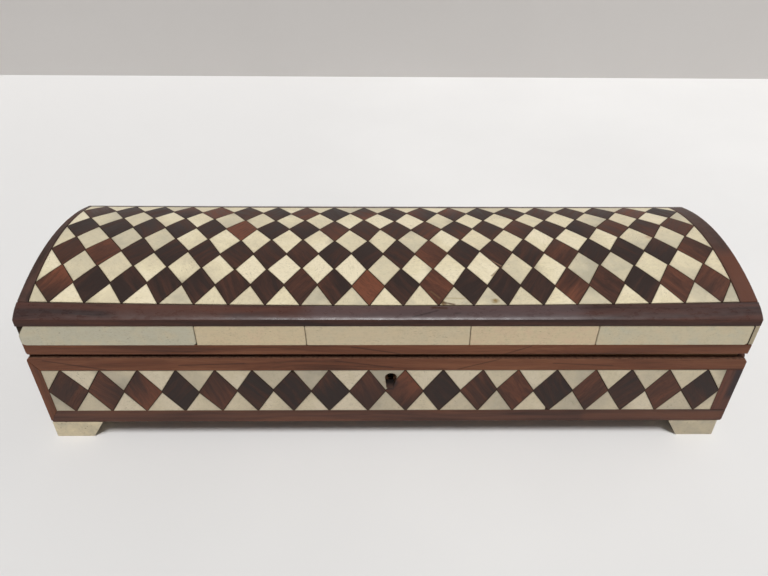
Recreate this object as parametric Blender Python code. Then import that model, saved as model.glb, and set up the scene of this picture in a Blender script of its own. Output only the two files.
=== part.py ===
"""Bone inlaid box: a long box with a slightly domed, hinged lid, lozenge inlay, bone feet and a small lock.

Metres, +Z up. The origin is at the middle of the footprint on the surface that the box stands on.
The front, with the keyhole, looks along -Y. The lid turns on two butt hinges at the back.
"""
from collections import Counter
from math import asin, atan2, cos, hypot, pi, radians, sin, sqrt

import bmesh
import bpy
from mathutils import Vector

# Overall plan and the levels, from the floor up
LENGTH = 0.305
DEPTH = 0.095
BASE_OVERHANG = 0.0010
FOOT_HEIGHT = 0.0095
BOTTOM_STRIP_HEIGHT = 0.0071
BAND_HEIGHT = 0.0244
TOP_STRIP_HEIGHT = 0.0078
LID_GAP = 0.0014
LOWER_STRIP_HEIGHT = 0.0050
BONE_STRIP_HEIGHT = 0.0102
NOSING_FACE = 0.0034
NOSING_RISE = 0.0039
DOME_RISE = 0.0067

# Shape of the dome and its sag along the length
NOSING_WIDTH = 0.0073
NOSING_CROWN = 0.0004
FRONT_BOW = 0.0020
BACK_BOW = 0.0005
PANEL_SAG = 0.0018

# Thicknesses and clearances
SKIN = 0.0023
WALL = 0.0045
TILE = 0.0020
DOME_BOARD = 0.0040
BOTTOM_BOARD = 0.0040
GAP = 0.0003
OVERRUN = 0.0010
BACKING = 0.0006
NECK = 0.0001

# Inlay borders
LEFT_STILE = 0.0042
RIGHT_STILE = 0.0072
END_STILE = 0.0040
LEFT_BAND = 0.0047
RIGHT_BAND = 0.0077
FRONT_LOZENGES = 18
END_LOZENGES = 5
DOME_COLUMNS = 20
DOME_ROWS = 4
FRONT_JOINT_SHARES = (0.238, 0.389, 0.613, 0.789)
BACK_JOINT_SHARES = (0.195, 0.412, 0.590, 0.806)
LEFT_JOINT_SHARES = (0.56,)
RIGHT_JOINT_SHARES = (0.47,)

# How far the lid's lozenges stray from even steps
LEFT_TAPER = 0.0026
CROWDING = 0.0031
BACK_LEAN = 0.0023
LEFT_RISE = 0.0003
RIGHT_RISE = 0.0021

# Feet
FOOT_TOP = 0.0230
FOOT_BOTTOM = 0.0172

# Hinges
HINGE_INSET = 0.0575
LEAF_LENGTH = 0.0300
LEAF_WIDTH = 0.0066
LEAF_THICKNESS = 0.0008
KNUCKLE_RADIUS = 0.0018
PIN_RADIUS = 0.0008
PIN_CLEARANCE = 0.0002
HINGE_SCREW_SPACING = 0.0100
KNUCKLES = 3

# Holes for the leaf screws
SCREW_HEAD = 0.0013
SCREW_SHANK = 0.0006

# Lock
KEYHOLE_X = 0.0005
KEYHOLE_DROP = 0.0121
KEYHOLE_RADIUS = 0.0026
KEY_SLOT_WIDTH = 0.0022
KEY_SLOT_DROP = 0.0060
LOCK_PLATE_LENGTH = 0.0420
LOCK_PLATE = 0.0010
LOCK_LENGTH = 0.0300
LOCK_HEIGHT = 0.0192
LOCK_DROP = 0.0006
LOCK_ROOM = 0.0054
LOCK_WALL = 0.0008
KEY_PIN_RADIUS = 0.0009
KEY_PIN_HEAD = 0.0016
KEY_PIN_HEAD_HEIGHT = 0.0006
BOLT_DROP = 0.0073
BOLT_HEIGHT = 0.0034
BOLT_LEFT = 0.0085
BOLT_RIGHT = 0.0045
BOLT_NOTCH_WIDTH = 0.0040
BOLT_NOTCH_DEPTH = 0.0012
BOLT_TIP_HEIGHT = 0.0024
BOLT_TIP_THICKNESS = 0.0012
BOLT_TIP_LENGTH = 0.0036
STAPLE_X = 0.0095
STAPLE_THICKNESS = 0.0016
STAPLE_WIDTH = 0.0034
STAPLE_EYE_WIDTH = 0.0020
STAPLE_EYE_HEIGHT = 0.0032
STAPLE_TOE = 0.0009
STAPLE_ROOM = 0.0006
STRIKE_LENGTH = 0.0340
STRIKE_THICKNESS = 0.0008

# Facets
LENGTH_STEPS = 24
DEPTH_STEPS = 16
ROUND_SIDES = 12
KEYHOLE_SIDES = 16
STRAIGHT_SHARE = 0.001
SNAP_SHARE = 0.00137
NOSING_SHARES = (0.15, 0.35, 0.60, 0.80)

# Places that follow from the sizes
LEFT = -LENGTH / 2
RIGHT = LENGTH / 2
BASE_LEFT = LEFT - BASE_OVERHANG
BASE_RIGHT = RIGHT + BASE_OVERHANG
BASE_END = SKIN + BASE_OVERHANG
FRONT = -(DEPTH + KNUCKLE_RADIUS) / 2
BACK = FRONT + DEPTH
MIDDLE = (FRONT + BACK) / 2
WALL_OUT = SKIN + GAP
WALL_IN = WALL_OUT + WALL

Z_BASE = FOOT_HEIGHT
Z_BAND = Z_BASE + BOTTOM_STRIP_HEIGHT
Z_TOP_STRIP = Z_BAND + BAND_HEIGHT
Z_RIM = Z_TOP_STRIP + TOP_STRIP_HEIGHT
Z_LID = Z_RIM + LID_GAP
Z_BONE = Z_LID + LOWER_STRIP_HEIGHT
Z_NOSING = Z_BONE + BONE_STRIP_HEIGHT
Z_CREASE = Z_NOSING + NOSING_FACE
Z_INLAY = Z_CREASE + NOSING_RISE

DOME_HALF = DEPTH / 2 - NOSING_WIDTH
DOME_RADIUS = (DOME_HALF ** 2 + DOME_RISE ** 2) / (2 * DOME_RISE)
DOME_ANGLE = asin(DOME_HALF / DOME_RADIUS)
DOME_ARC = 2 * DOME_ANGLE * DOME_RADIUS
INLAY_LEFT = LEFT + LEFT_BAND
INLAY_RIGHT = RIGHT - RIGHT_BAND

HINGE_Z = Z_RIM + LID_GAP / 2
KEYHOLE_Z = Z_RIM - KEYHOLE_DROP
BOLT_Z = Z_RIM - BOLT_DROP
PLATE_FRONT = WALL_IN + GAP
PLATE_BACK = PLATE_FRONT + LOCK_PLATE
CASE_FRONT = PLATE_BACK + GAP
CASE_BACK = CASE_FRONT + LOCK_ROOM + LOCK_WALL
CASE_MIDDLE = CASE_FRONT + LOCK_ROOM / 2


def clear_scene():
    for item in list(bpy.data.objects):
        bpy.data.objects.remove(item, do_unlink=True)


def material(name, colour, roughness, metallic=0.0):
    """One Principled material."""
    made = bpy.data.materials.new(name)
    made.use_nodes = True
    shader = made.node_tree.nodes["Principled BSDF"]
    shader.inputs["Base Color"].default_value = (*colour, 1.0)
    shader.inputs["Roughness"].default_value = roughness
    shader.inputs["Metallic"].default_value = metallic
    return made


def loft(rings):
    """A closed solid through rings with equal numbers of points, capped at both ends."""
    count = len(rings[0])
    points = [point for ring in rings for point in ring]
    faces = []
    for row in range(len(rings) - 1):
        for column in range(count):
            after = (column + 1) % count
            faces.append((row * count + column, row * count + after,
                          (row + 1) * count + after, (row + 1) * count + column))
    faces.append(tuple(range(count)))
    faces.append(tuple(range((len(rings) - 1) * count, len(rings) * count)))
    return points, faces


def box(low, high):
    """A box between two corners."""
    (x0, y0, z0), (x1, y1, z1) = low, high
    return loft([[(x0, y0, z), (x1, y0, z), (x1, y1, z), (x0, y1, z)] for z in (z0, z1)])


def turned(profile, place, sides=ROUND_SIDES):
    """A turned solid. The profile holds (radius, distance along) and closes on the axis or on itself."""
    points, rings, faces = [], [], []
    for radius, along in profile:
        turns = sides if radius > 0 else 1
        rings.append(range(len(points), len(points) + turns))
        for step in range(turns):
            angle = 2 * pi * step / sides
            points.append(place(radius * cos(angle), radius * sin(angle), along))
    pairs = list(zip(rings, rings[1:]))
    if profile[0][0] > 0:
        pairs.append((rings[-1], rings[0]))
    for low, high in pairs:
        for step in range(sides):
            after = (step + 1) % sides
            corners = [low[step % len(low)], low[after % len(low)],
                       high[after % len(high)], high[step % len(high)]]
            face = tuple(dict.fromkeys(corners))
            if len(face) > 2:
                faces.append(face)
    return points, faces


def join(shapes):
    """Several closed shapes as one list of points and faces."""
    points, faces = [], []
    for shape_points, shape_faces in shapes:
        start = len(points)
        points.extend(shape_points)
        faces.extend(tuple(start + index for index in face) for face in shape_faces)
    return points, faces


def add(name, shape, finish=None, carrier=None, smooth=False):
    """One named object from a closed shape, carried by an empty where it moves."""
    points, faces = shape
    mesh = bpy.data.meshes.new(name)
    mesh.from_pydata(points, [], faces)
    shaper = bmesh.new()
    shaper.from_mesh(mesh)
    bmesh.ops.recalc_face_normals(shaper, faces=shaper.faces)
    shaper.to_mesh(mesh)
    shaper.free()
    if smooth:
        mesh.shade_smooth()
        mesh.set_sharp_from_angle(angle=radians(35))
    if finish:
        mesh.materials.append(finish)
    made = bpy.data.objects.new(name, mesh)
    bpy.context.scene.collection.objects.link(made)
    if carrier:
        made.parent = carrier
        made.location = -carrier.location
    return made


def tool(name, shape):
    """A cutter or a joining piece, which isn't part of the box."""
    made = add(name, shape)
    made.hide_render = True
    made.display_type = "WIRE"
    return made


def change(target, other, operation="DIFFERENCE"):
    """Cuts another object from the target, or joins it to the target."""
    step = target.modifiers.new(other.name, "BOOLEAN")
    step.operation = operation
    step.solver = "EXACT"
    step.object = other


def axis_point(name, location):
    """An empty on a joint's axis."""
    made = bpy.data.objects.new(name, None)
    made.location = location
    bpy.context.scene.collection.objects.link(made)
    return made


def edges_of(outline):
    return list(zip(outline, outline[1:] + outline[:1]))


def inset(polygon, distance):
    """An anticlockwise polygon with no hollow corners, with each edge moved inwards."""
    lines = []
    for (start_x, start_y), (end_x, end_y) in edges_of(polygon):
        length = hypot(end_x - start_x, end_y - start_y)
        run_x, run_y = (end_x - start_x) / length, (end_y - start_y) / length
        lines.append((start_x - run_y * distance, start_y + run_x * distance, run_x, run_y))
    corners = []
    for index, (x, y, run_x, run_y) in enumerate(lines):
        before_x, before_y, before_run_x, before_run_y = lines[index - 1]
        across = before_run_x * run_y - before_run_y * run_x
        if abs(across) < STRAIGHT_SHARE:
            corners.append((x, y))
        else:
            along = ((x - before_x) * run_y - (y - before_y) * run_x) / across
            corners.append((before_x + before_run_x * along, before_y + before_run_y * along))
    return corners


# Each side of the box maps (along, up, inwards) to world coordinates
def front_side(along, up, inwards):
    return along, FRONT + inwards, up


def back_side(along, up, inwards):
    return -along, BACK - inwards, up


def left_side(along, up, inwards):
    return LEFT + inwards, MIDDLE - along, up


def right_side(along, up, inwards):
    return RIGHT - inwards, MIDDLE + along, up


def base_left_side(along, up, inwards):
    return BASE_LEFT + inwards, MIDDLE - along, up


def base_right_side(along, up, inwards):
    return BASE_RIGHT - inwards, MIDDLE + along, up


def slab(side, low, high, outer=0.0, inner=SKIN):
    """A plate on one side, between two (along, up) corners and two depths."""
    outline = [(low[0], low[1]), (high[0], low[1]), (high[0], high[1]), (low[0], high[1])]
    return plate(side, outline, outer, inner)


def plate(side, outline, outer=0.0, inner=SKIN):
    """A plate on one side with any (along, up) outline."""
    return loft([[side(along, up, depth) for along, up in outline] for depth in (outer, inner)])


def arc_height(y):
    """Height of the dome's arc over the border of its inlay."""
    across = y - MIDDLE
    return sqrt(DOME_RADIUS ** 2 - across ** 2) - (DOME_RADIUS - DOME_RISE)


def sag(x, y):
    """How far the dome has sunk: nothing at the ends, most at mid length."""
    along = x / (LENGTH / 2)
    across = (y - MIDDLE) / DOME_HALF
    edges = FRONT_BOW * (1 - across) / 2 + BACK_BOW * (1 + across) / 2
    return (1 - along ** 2) * (edges + PANEL_SAG * (1 - across ** 2))


def dome_top(x, y):
    return Z_INLAY + arc_height(y) - sag(x, y)


def board_top(x, y):
    return dome_top(x, y) - TILE - GAP


def board_bottom(x, y):
    return board_top(x, y) - DOME_BOARD


def spread(low, high, steps):
    """Evenly spaced values, both ends included."""
    return [low + (high - low) * step / steps for step in range(steps + 1)]


def rhombus_pattern(low, high, bottom, top, columns, rows):
    """Dark lozenges and the lighter pieces between them, as polygons on a flat sheet."""
    width = (high - low) / columns
    height = (top - bottom) / rows
    dark, light = [], []
    for row in range(rows):
        for column in range(columns):
            x = low + width * (column + 0.5)
            y = bottom + height * (row + 0.5)
            dark.append([(x - width / 2, y), (x, y - height / 2), (x + width / 2, y), (x, y + height / 2)])
    for row in range(rows + 1):
        for column in range(columns + 1):
            x = low + width * column
            y = bottom + height * row
            outline = [(max(x - width / 2, low), y), (min(x + width / 2, high), y)]
            if row > 0:
                outline.insert(1, (x, y - height / 2))
            if row < rows:
                outline.append((x, y + height / 2))
            light.append(outline)
    return dark, light


def corner_key(point):
    """The same key for the same point, whichever neighbour worked it out."""
    snap = GAP * SNAP_SHARE
    return round(point[0] / snap), round(point[1] / snap)


class Sheet:
    """A closed solid that lies along a surface, made of outlines at chosen depths below it."""

    def __init__(self, place):
        self.place = place
        self.numbers = {}
        self.points = []
        self.faces = []

    def corner(self, point, depth):
        key = (*corner_key(point), depth)
        if key not in self.numbers:
            self.numbers[key] = len(self.points)
            self.points.append(self.place(point[0], point[1], depth))
        return self.numbers[key]

    def face(self, outline, depth):
        """A flat outline. One with four corners is folded along its first and third corner."""
        corners = [self.corner(point, depth) for point in outline]
        if len(corners) == 4:
            self.faces += [(corners[0], corners[1], corners[2]), (corners[0], corners[2], corners[3])]
        else:
            self.faces.append(tuple(corners))

    def wall(self, start, end, upper, lower):
        self.faces.append((self.corner(start, upper), self.corner(end, upper),
                           self.corner(end, lower), self.corner(start, lower)))

    def border(self, outlines, upper, lower):
        """Walls along the edges that only one outline has."""
        uses = Counter(frozenset(map(corner_key, edge)) for outline in outlines for edge in edges_of(outline))
        for outline in outlines:
            for start, end in edges_of(outline):
                if uses[frozenset((corner_key(start), corner_key(end)))] == 1:
                    self.wall(start, end, upper, lower)


def bone_sheet(dark, light, place, thickness):
    """Bone pieces that stand on one thin ground, with room between them for the dark lozenges."""
    sheet = Sheet(place)
    ground = thickness - BACKING
    for outline in light:
        inner = inset(outline, GAP + NECK)
        sheet.face(inner, 0.0)
        for (start, end), (inner_start, inner_end) in zip(edges_of(outline), edges_of(inner)):
            sheet.wall(inner_start, inner_end, 0.0, ground)
            sheet.faces.append(tuple(sheet.corner(point, ground)
                                     for point in (start, end, inner_end, inner_start)))
    for outline in dark:
        sheet.face(outline, ground)
    for outline in dark + light:
        sheet.face(outline, thickness)
    sheet.border(dark + light, ground, thickness)
    return sheet.points, sheet.faces


def with_necks(outline):
    """A lozenge whose four tips are widened and cut off where they meet the next lozenges."""
    left, _, right, _ = outline
    cuts = []
    for edge, corners in zip(edges_of(inset(outline, -NECK)), edges_of(outline)):
        (start_x, start_y), (end_x, end_y) = edge
        for corner in corners:
            if corner in (left, right):
                share = (corner[0] - start_x) / (end_x - start_x)
            else:
                share = (corner[1] - start_y) / (end_y - start_y)
            cuts.append((start_x + (end_x - start_x) * share, start_y + (end_y - start_y) * share))
    return cuts


def lozenge_sheet(dark, place, thickness):
    """Dark lozenges joined at their tips, over the ground of the bone pieces."""
    sheet = Sheet(place)
    bottom = thickness - BACKING - GAP
    outlines = [with_necks(outline) for outline in dark]
    for cuts in outlines:
        left_low, below_left, below_right, right_low, right_high, above_right, above_left, left_high = cuts
        for depth in (0.0, bottom):
            sheet.face([left_low, below_left, below_right, right_low], depth)
            sheet.face([left_low, right_low, right_high, left_high], depth)
            sheet.face([left_high, right_high, above_right, above_left], depth)
    sheet.border(outlines, 0.0, bottom)
    return sheet.points, sheet.faces


def side_inlay(side, low, high, columns, thickness):
    """The dark lozenges and the bone pieces of one side's band."""
    dark, light = rhombus_pattern(low, high, Z_BAND, Z_TOP_STRIP, columns, 1)
    return lozenge_sheet(dark, side, thickness), bone_sheet(dark, light, side, thickness)


def stray(x, along):
    """How far the lid's pattern strays along X and along the arc: most at mid length and mid arc."""
    across = (2 * x - INLAY_LEFT - INLAY_RIGHT) / (INLAY_RIGHT - INLAY_LEFT)
    share = along / DOME_ARC
    left_share, right_share = (1 - across) / 2, (1 + across) / 2
    between = 1 - across ** 2
    back = LEFT_TAPER * share * left_share + between * (CROWDING * across + BACK_LEAN * share)
    return -back, 4 * share * (1 - share) * (LEFT_RISE * left_share + RIGHT_RISE * right_share)


def on_dome(x, along, depth):
    """A place under the dome, from even steps along X and along the arc, and a depth."""
    stray_x, stray_along = stray(x, along)
    laid_x = x + stray_x
    y = MIDDLE + DOME_RADIUS * sin((along + stray_along) / DOME_RADIUS - DOME_ANGLE)
    return laid_x, y, dome_top(laid_x, y) - depth


def dome_inlay():
    """The dark lozenges and the bone pieces of the lid."""
    dark, light = rhombus_pattern(INLAY_LEFT, INLAY_RIGHT, 0.0, DOME_ARC, DOME_COLUMNS, DOME_ROWS)
    return lozenge_sheet(dark, on_dome, TILE), bone_sheet(dark, light, on_dome, TILE)


def bone_strips(side, low, high, joint_shares):
    """A row of bone strips on one thin ground, parted by narrow joints."""
    ground = SKIN - BACKING
    outline = [(high, SKIN), (low, SKIN), (low, 0.0)]
    for share in joint_shares:
        middle = low + (high - low) * share
        start, end = middle - GAP / 2, middle + GAP / 2
        outline += [(start, 0.0), (start, ground), (end, ground), (end, 0.0)]
    outline.append((high, 0.0))
    return loft([[side(along, up, inwards) for along, inwards in outline] for up in (Z_BONE, Z_NOSING - GAP)])


def mitred_corner(side, start, end, low):
    """The front's left stile and bottom strip, which meet on a mitre below the inlay's left end."""
    slope = (Z_BAND - Z_BASE) / (low - start)
    inner, under = low - GAP, Z_BAND - GAP
    stile = [(start, Z_BASE), (inner, Z_BAND - GAP * slope), (inner, Z_TOP_STRIP), (start, Z_TOP_STRIP)]
    strip = [(start + GAP, Z_BASE), (end, Z_BASE), (end, under), (low + GAP - GAP / slope, under)]
    return plate(side, stile), plate(side, strip)


def top_frame(side, start, end, low, high, thickness):
    """A base side's top strip with both stiles, in one piece."""
    outline = [(start, Z_BAND), (low - GAP, Z_BAND), (low - GAP, Z_TOP_STRIP + GAP),
               (high + GAP, Z_TOP_STRIP + GAP), (high + GAP, Z_BAND), (end, Z_BAND),
               (end, Z_RIM), (start, Z_RIM)]
    return plate(side, outline, 0.0, thickness)


def dome_board():
    """The curved board that carries the inlay."""
    across = spread(FRONT + WALL_OUT, BACK - WALL_OUT, DEPTH_STEPS)
    rings = []
    for x in spread(LEFT + WALL_OUT, RIGHT - WALL_OUT, LENGTH_STEPS):
        upper = [(x, y, board_top(x, y)) for y in across]
        lower = [(x, y, board_bottom(x, y)) for y in reversed(across)]
        rings.append(upper + lower)
    return loft(rings)


def nosing(sign):
    """The moulded strip along the front (sign 1) or the back (sign -1) of the lid."""
    face = FRONT if sign > 0 else BACK
    inner = NOSING_WIDTH - GAP
    rings = []
    for x in spread(LEFT, RIGHT, LENGTH_STEPS):
        edge_y = face + sign * inner
        step_y = face + sign * SKIN
        edge_z = dome_top(x, edge_y)
        ring = [(x, face, Z_NOSING), (x, face, Z_CREASE)]
        for share in NOSING_SHARES:
            height = Z_CREASE + (edge_z - Z_CREASE) * share + NOSING_CROWN * sin(pi * share)
            ring.append((x, face + sign * inner * share, height))
        ring.append((x, edge_y, edge_z))
        ring.append((x, edge_y, edge_z - TILE))
        ring.append((x, step_y, dome_top(x, step_y) - TILE))
        ring.append((x, step_y, Z_NOSING))
        rings.append(ring)
    return loft(rings)


def edge_band(low, high, taper=0.0):
    """The wooden band that follows the arched end of the lid and may narrow towards the back."""
    rings = []
    for y in spread(FRONT + NOSING_WIDTH, BACK - NOSING_WIDTH, DEPTH_STEPS):
        share = (1 + asin((y - MIDDLE) / DOME_RADIUS) / DOME_ANGLE) / 2
        end = high - taper * share
        rings.append([(low, y, dome_top(low, y) - TILE), (end, y, dome_top(end, y) - TILE),
                      (end, y, dome_top(end, y)), (low, y, dome_top(low, y))])
    return loft(rings)


def lunette(low, high):
    """The veneer over a lid end, between the bone strips and the edge band."""
    across = spread(FRONT + WALL_OUT, BACK - WALL_OUT, DEPTH_STEPS)
    return loft([[(x, across[-1], Z_NOSING), (x, across[0], Z_NOSING)]
                 + [(x, y, board_top(x, y)) for y in across] for x in (low, high)])


def end_board(low, high):
    """The board at a lid end, whose top carries the dome board."""
    across = spread(FRONT + WALL_IN + GAP, BACK - WALL_IN - GAP, DEPTH_STEPS)
    return loft([[(x, across[-1], Z_LID), (x, across[0], Z_LID)]
                 + [(x, y, board_bottom(x, y) - GAP) for y in across] for x in (low, high)])


def rail(sign):
    """The lid's front (sign 1) or back (sign -1) rail, whose top carries the dome board."""
    face = FRONT if sign > 0 else BACK
    outer, inner = face + sign * WALL_OUT, face + sign * WALL_IN
    rings = []
    for x in spread(LEFT + WALL_OUT, RIGHT - WALL_OUT, LENGTH_STEPS):
        rings.append([(x, outer, Z_LID), (x, inner, Z_LID),
                      (x, inner, board_bottom(x, inner) - GAP), (x, outer, board_bottom(x, outer) - GAP)])
    return loft(rings)


def foot(x_sign, y_sign):
    """A bone block whose two inner sides lean outwards to the top."""
    corner_x = BASE_RIGHT if x_sign > 0 else BASE_LEFT
    corner_y = BACK if y_sign > 0 else FRONT
    rings = []
    for height, size in ((0.0, FOOT_BOTTOM), (Z_BASE - GAP, FOOT_TOP)):
        inner_x, inner_y = corner_x - x_sign * size, corner_y - y_sign * size
        rings.append([(corner_x, corner_y, height), (inner_x, corner_y, height),
                      (inner_x, inner_y, height), (corner_x, inner_y, height)])
    return loft(rings)


def keyhole(front_depth, back_depth):
    """A round hole with a slot below it."""
    half = KEY_SLOT_WIDTH / 2
    start = atan2(-sqrt(KEYHOLE_RADIUS ** 2 - half ** 2), half)
    outline = []
    for angle in spread(start, pi - start, KEYHOLE_SIDES):
        outline.append((KEYHOLE_X + KEYHOLE_RADIUS * cos(angle), KEYHOLE_Z + KEYHOLE_RADIUS * sin(angle)))
    outline.append((KEYHOLE_X - half, KEYHOLE_Z - KEY_SLOT_DROP))
    outline.append((KEYHOLE_X + half, KEYHOLE_Z - KEY_SLOT_DROP))
    return plate(front_side, outline, front_depth, back_depth)


def along_x(x, y, z):
    """Place function of a turned piece whose axis runs along X."""
    return lambda across, up, along: (x + along, y + across, z + up)


def along_y(x, y, z):
    """Place function of a turned piece whose axis runs along Y."""
    return lambda across, up, along: (x + across, y + along, z + up)


def along_z(x, y, z, sign):
    """Place function of a turned piece that points up (sign 1) or down (sign -1)."""
    return lambda across, up, along: (x + across, y + up, z + sign * along)


def countersink(place):
    """The tapered hole through a leaf for a screw head that starts at zero."""
    slope = (SCREW_HEAD - SCREW_SHANK) / LEAF_THICKNESS
    return turned([(0.0, -OVERRUN), (SCREW_HEAD + slope * OVERRUN, -OVERRUN),
                   (SCREW_SHANK, LEAF_THICKNESS), (SCREW_SHANK, LEAF_THICKNESS + GAP / 2),
                   (0.0, LEAF_THICKNESS + GAP / 2)], place)


def hinge_places():
    return ("left", LEFT + HINGE_INSET), ("right", RIGHT - HINGE_INSET)


def leaf_levels(sign):
    """Inner face and outer face of a leaf: the base's (sign -1) or the lid's (sign 1)."""
    inner = HINGE_Z + sign * LID_GAP / 2
    return inner, inner + sign * LEAF_THICKNESS


def leaf_recess(sign):
    """The room for both leaves of one rim, with the deeper notch for the knuckles."""
    inner, outer = leaf_levels(sign)
    start, floor = inner - sign * OVERRUN, outer + sign * GAP
    notch_floor = HINGE_Z + sign * (KNUCKLE_RADIUS + GAP)
    back, notch_end, end = BACK + OVERRUN, BACK - KNUCKLE_RADIUS - GAP, BACK - LEAF_WIDTH - GAP
    outline = [(back, start), (end, start), (end, floor), (notch_end, floor),
               (notch_end, notch_floor), (back, notch_floor)]
    half = LEAF_LENGTH / 2 + GAP
    return [loft([[(x, y, z) for y, z in outline] for x in (middle - half, middle + half)])
            for _, middle in hinge_places()]


def knuckle_spans(middle, sign):
    """X spans of one leaf's knuckles: the outer ones on the base, the middle one on the lid."""
    length = LEAF_LENGTH / KNUCKLES
    for index in range(KNUCKLES):
        if (index % 2 == 0) == (sign < 0):
            start = middle - LEAF_LENGTH / 2 + index * length
            yield start + GAP / 2, start + length - GAP / 2


def add_leaf(name, middle, sign, finish, carrier=None):
    """One leaf with its knuckles and screw holes."""
    inner, outer = leaf_levels(sign)
    low_z, high_z = sorted((inner, outer))
    half = LEAF_LENGTH / 2
    leaf = add(name, box((middle - half, BACK - LEAF_WIDTH, low_z),
                         (middle + half, BACK - KNUCKLE_RADIUS - GAP, high_z)), finish, carrier)
    webs, barrels, bores = [], [], []
    for start, end in knuckle_spans(middle, sign):
        webs.append(box((start, BACK - KNUCKLE_RADIUS - OVERRUN, low_z), (end, BACK, high_z)))
        place = along_x(start, BACK, HINGE_Z)
        length, bore, extra = end - start, PIN_RADIUS + PIN_CLEARANCE, GAP / 2
        barrels.append(turned([(0.0, 0.0), (KNUCKLE_RADIUS, 0.0), (KNUCKLE_RADIUS, length),
                               (0.0, length)], place))
        bores.append(turned([(0.0, -extra), (bore, -extra), (bore, length + extra),
                             (0.0, length + extra)], place))
    change(leaf, tool(name + "_webs", join(webs)), "UNION")
    change(leaf, tool(name + "_barrels", join(barrels)), "UNION")
    change(leaf, tool(name + "_bores", join(bores)))
    screw_y = BACK - WALL_OUT - (LEAF_WIDTH - WALL_OUT) / 2
    holes = [countersink(along_z(middle + step * HINGE_SCREW_SPACING, screw_y, inner, sign))
             for step in (-1, 0, 1)]
    change(leaf, tool(name + "_holes", join(holes)))


def add_hinges(brass, steel, rims, lid):
    """Leaves and pins, and the leaves' recesses in the rims."""
    for name, middle in hinge_places():
        add_leaf("hinge_" + name + "_base_leaf", middle, -1, brass)
        add_leaf("hinge_" + name + "_lid_leaf", middle, 1, brass, lid)
        pin = turned([(0.0, 0.0), (PIN_RADIUS, 0.0), (PIN_RADIUS, LEAF_LENGTH), (0.0, LEAF_LENGTH)],
                     along_x(middle - LEAF_LENGTH / 2, BACK, HINGE_Z))
        add("hinge_" + name + "_pin", pin, steel, smooth=True)
    for sign, targets in rims.items():
        recess = tool("leaf_recess", join(leaf_recess(sign)))
        for target in targets:
            change(target, recess)


def add_lock(steel, brass, front_wall, inlays):
    """Plate, case and key pin behind the keyhole."""
    top, bottom = Z_RIM - LOCK_DROP, Z_RIM - LOCK_DROP - LOCK_HEIGHT
    half_plate, half_case = LOCK_PLATE_LENGTH / 2, LOCK_LENGTH / 2
    plate_piece = add("lock_plate", slab(front_side, (KEYHOLE_X - half_plate, bottom),
                                         (KEYHOLE_X + half_plate, top), PLATE_FRONT, PLATE_BACK), brass)
    case = add("lock_case", slab(front_side, (KEYHOLE_X - half_case, bottom),
                                 (KEYHOLE_X + half_case, top), CASE_FRONT, CASE_BACK), steel)
    room = slab(front_side, (KEYHOLE_X - half_case + LOCK_WALL, bottom + LOCK_WALL),
                (KEYHOLE_X + half_case - LOCK_WALL, top - LOCK_WALL),
                CASE_FRONT - OVERRUN, CASE_FRONT + LOCK_ROOM)
    change(case, tool("lock_room", room))
    half_slot = STAPLE_THICKNESS / 2 + STAPLE_ROOM
    slot = slab(front_side, (KEYHOLE_X + STAPLE_X - half_slot, top - LOCK_WALL - OVERRUN),
                (KEYHOLE_X + STAPLE_X + half_slot, top + OVERRUN),
                CASE_FRONT - OVERRUN, CASE_FRONT + LOCK_ROOM)
    change(case, tool("staple_slot", slot))
    pin_place = along_y(KEYHOLE_X, FRONT + CASE_BACK, KEYHOLE_Z)
    pin_hole = turned([(0.0, OVERRUN), (KEY_PIN_RADIUS + GAP, OVERRUN),
                       (KEY_PIN_RADIUS + GAP, -LOCK_WALL - OVERRUN), (0.0, -LOCK_WALL - OVERRUN)], pin_place)
    change(case, tool("key_pin_hole", pin_hole))
    reach = LOCK_WALL + LOCK_ROOM
    head = GAP + KEY_PIN_HEAD_HEIGHT
    key_pin = turned([(0.0, head), (KEY_PIN_HEAD, head), (KEY_PIN_HEAD, GAP), (KEY_PIN_RADIUS, GAP),
                      (KEY_PIN_RADIUS, -reach), (0.0, -reach)], pin_place)
    add("key_pin", key_pin, steel, smooth=True)
    hole = tool("keyhole", keyhole(-OVERRUN, PLATE_BACK + GAP / 2))
    for target in (front_wall, plate_piece, *inlays):
        change(target, hole)


def add_bolt(steel, carrier):
    """The sliding bolt: a guided body with a notch for the key, and a thin tip for the staple."""
    left, right = KEYHOLE_X - BOLT_LEFT, KEYHOLE_X + BOLT_RIGHT
    bottom, top = BOLT_Z - BOLT_HEIGHT / 2, BOLT_Z + BOLT_HEIGHT / 2
    notch_left, notch_right = KEYHOLE_X - BOLT_NOTCH_WIDTH / 2, KEYHOLE_X + BOLT_NOTCH_WIDTH / 2
    notch_top = bottom + BOLT_NOTCH_DEPTH
    outline = [(left, bottom), (notch_left, bottom), (notch_left, notch_top), (notch_right, notch_top),
               (notch_right, bottom), (right, bottom), (right, top), (left, top)]
    body = plate(front_side, outline, CASE_FRONT + GAP, CASE_FRONT + LOCK_ROOM - GAP)
    bolt = add("lock_bolt", body, steel, carrier)
    half_height, half_thickness = BOLT_TIP_HEIGHT / 2, BOLT_TIP_THICKNESS / 2
    tip = slab(front_side, (right - OVERRUN, BOLT_Z - half_height),
               (right + BOLT_TIP_LENGTH, BOLT_Z + half_height),
               CASE_MIDDLE - half_thickness, CASE_MIDDLE + half_thickness)
    change(bolt, tool("bolt_tip", tip), "UNION")


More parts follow.
